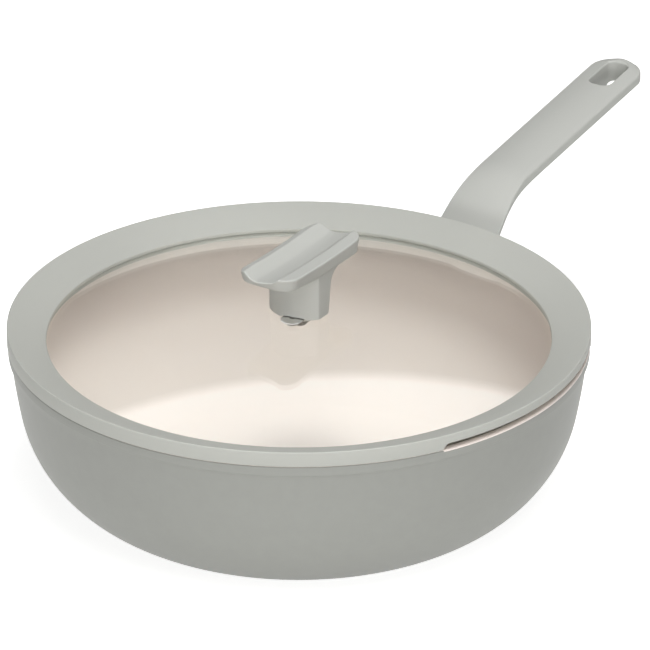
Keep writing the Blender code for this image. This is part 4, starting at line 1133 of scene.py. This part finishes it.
# %% Eyelet
EYELET_BORE = 1.2 * MM
EYELET_FLANGE = 6.1 * MM
EYELET_CURL = 3.3 * MM
EYELET_FOLD = 0.6 * MM
EYELET_CROWN = 0.7 * MM
EYELET_ROUND = 0.55 * MM
vent_distance = math.hypot(*VENT)
eyelet_top = dome(vent_distance - EYELET_FLANGE) + SEAT_GAP / 3
eyelet_low = dome(vent_distance + EYELET_CURL, GLASS_THICKNESS) - SEAT_GAP / 3
flange_top = [(EYELET_BORE, eyelet_top + EYELET_FOLD + EYELET_CROWN)]
flange_top += [(EYELET_FLANGE, eyelet_top + EYELET_FOLD)]
curl_low = [(EYELET_CURL, eyelet_low - EYELET_FOLD), (EYELET_BORE, eyelet_low - EYELET_FOLD)]
outline = flange_top + [(EYELET_FLANGE, eyelet_top), (EYELET_BARREL, eyelet_top)]
outline += [(EYELET_BARREL, eyelet_low), (EYELET_CURL, eyelet_low)] + curl_low
build = bmesh.new()
section_of(build, outline)
round_corners(build, flange_top + curl_low, EYELET_ROUND, segments=5)
turn(build, 96)
bmesh.ops.translate(build, vec=(*VENT, 0.0), verts=build.verts)
eyelet = as_object("vent_eyelet_fine", build, (satin_steel_painted_glint,))
place_piece(eyelet, "lid", "vent_eyelet")

# %% [markdown]
# ## Metal finishes for the fixings
# The fixings keep their CAD shapes and get better finishes. The disc in the base is
# brushed in rings, the screws and washers are stainless, and the insert is turned brass.
# Real brushing and turning marks are finer than a tenth of a millimetre. They are drawn
# at a third to three quarters of a millimetre, so that they show. The disc's rings are a wave
# about the vertical axis, which runs through the disc's middle.

# %% Brushed disc
brushed_disc, tree, shader = start_finish(
    "magnetic_steel_ring_brushed", "B4B3B0", 0.34, metallic=1.0)
shader.inputs["Anisotropic"].default_value = 0.4
place = add_node(tree, "ShaderNodeTexCoord")
rings = add_node(
    tree, "ShaderNodeTexWave",
    {"Vector": place.outputs["Object"], "Scale": 1.0 / (2.4 * MM), "Distortion": 0.0},
    wave_type="RINGS", rings_direction="Z", wave_profile="SAW")
bump = add_node(
    tree, "ShaderNodeBump", {"Height": rings.outputs["Fac"], "Distance": 0.04 * MM})
tree.links.new(bump.outputs["Normal"], shader.inputs["Normal"])

# %% Steel, brass and cast aluminium
fixing_steel, tree, shader = start_finish("stainless_steel_drawn", "B9B8B5", 0.3, metallic=1.0)
fine_grain(tree, shader, 0.4 * MM, 0.004 * MM)
turned_brass, tree, shader = start_finish("turned_brass", "D6B066", 0.32, metallic=1.0)
fine_grain(tree, shader, 0.3 * MM, 0.004 * MM)
cast_bracket, tree, shader = start_finish("sprayed_cast_aluminium_bracket", COAT_GREY, 0.5)
fine_grain(tree, shader, 0.9 * MM, 0.02 * MM)

# %% Dress the CAD nodes that stay
finishes = {
    "induction_disc": brushed_disc,
    "handle_bracket": cast_bracket,
    "handle_washer": fixing_steel,
    "handle_screw": fixing_steel,
    "knob_washer": fixing_steel,
    "knob_screw": fixing_steel,
    "knob_insert": turned_brass,
    "knob_gasket": moulded_silicone,
    # The seal sits in the knob's shade; its pale tone paints light there.
    "glass_seal": shade_lifted_silicone,
}
for node_name, material in finishes.items():
    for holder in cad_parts[node_name].material_slots:
        holder.material = material
    print(node_name, "wears", material.name)
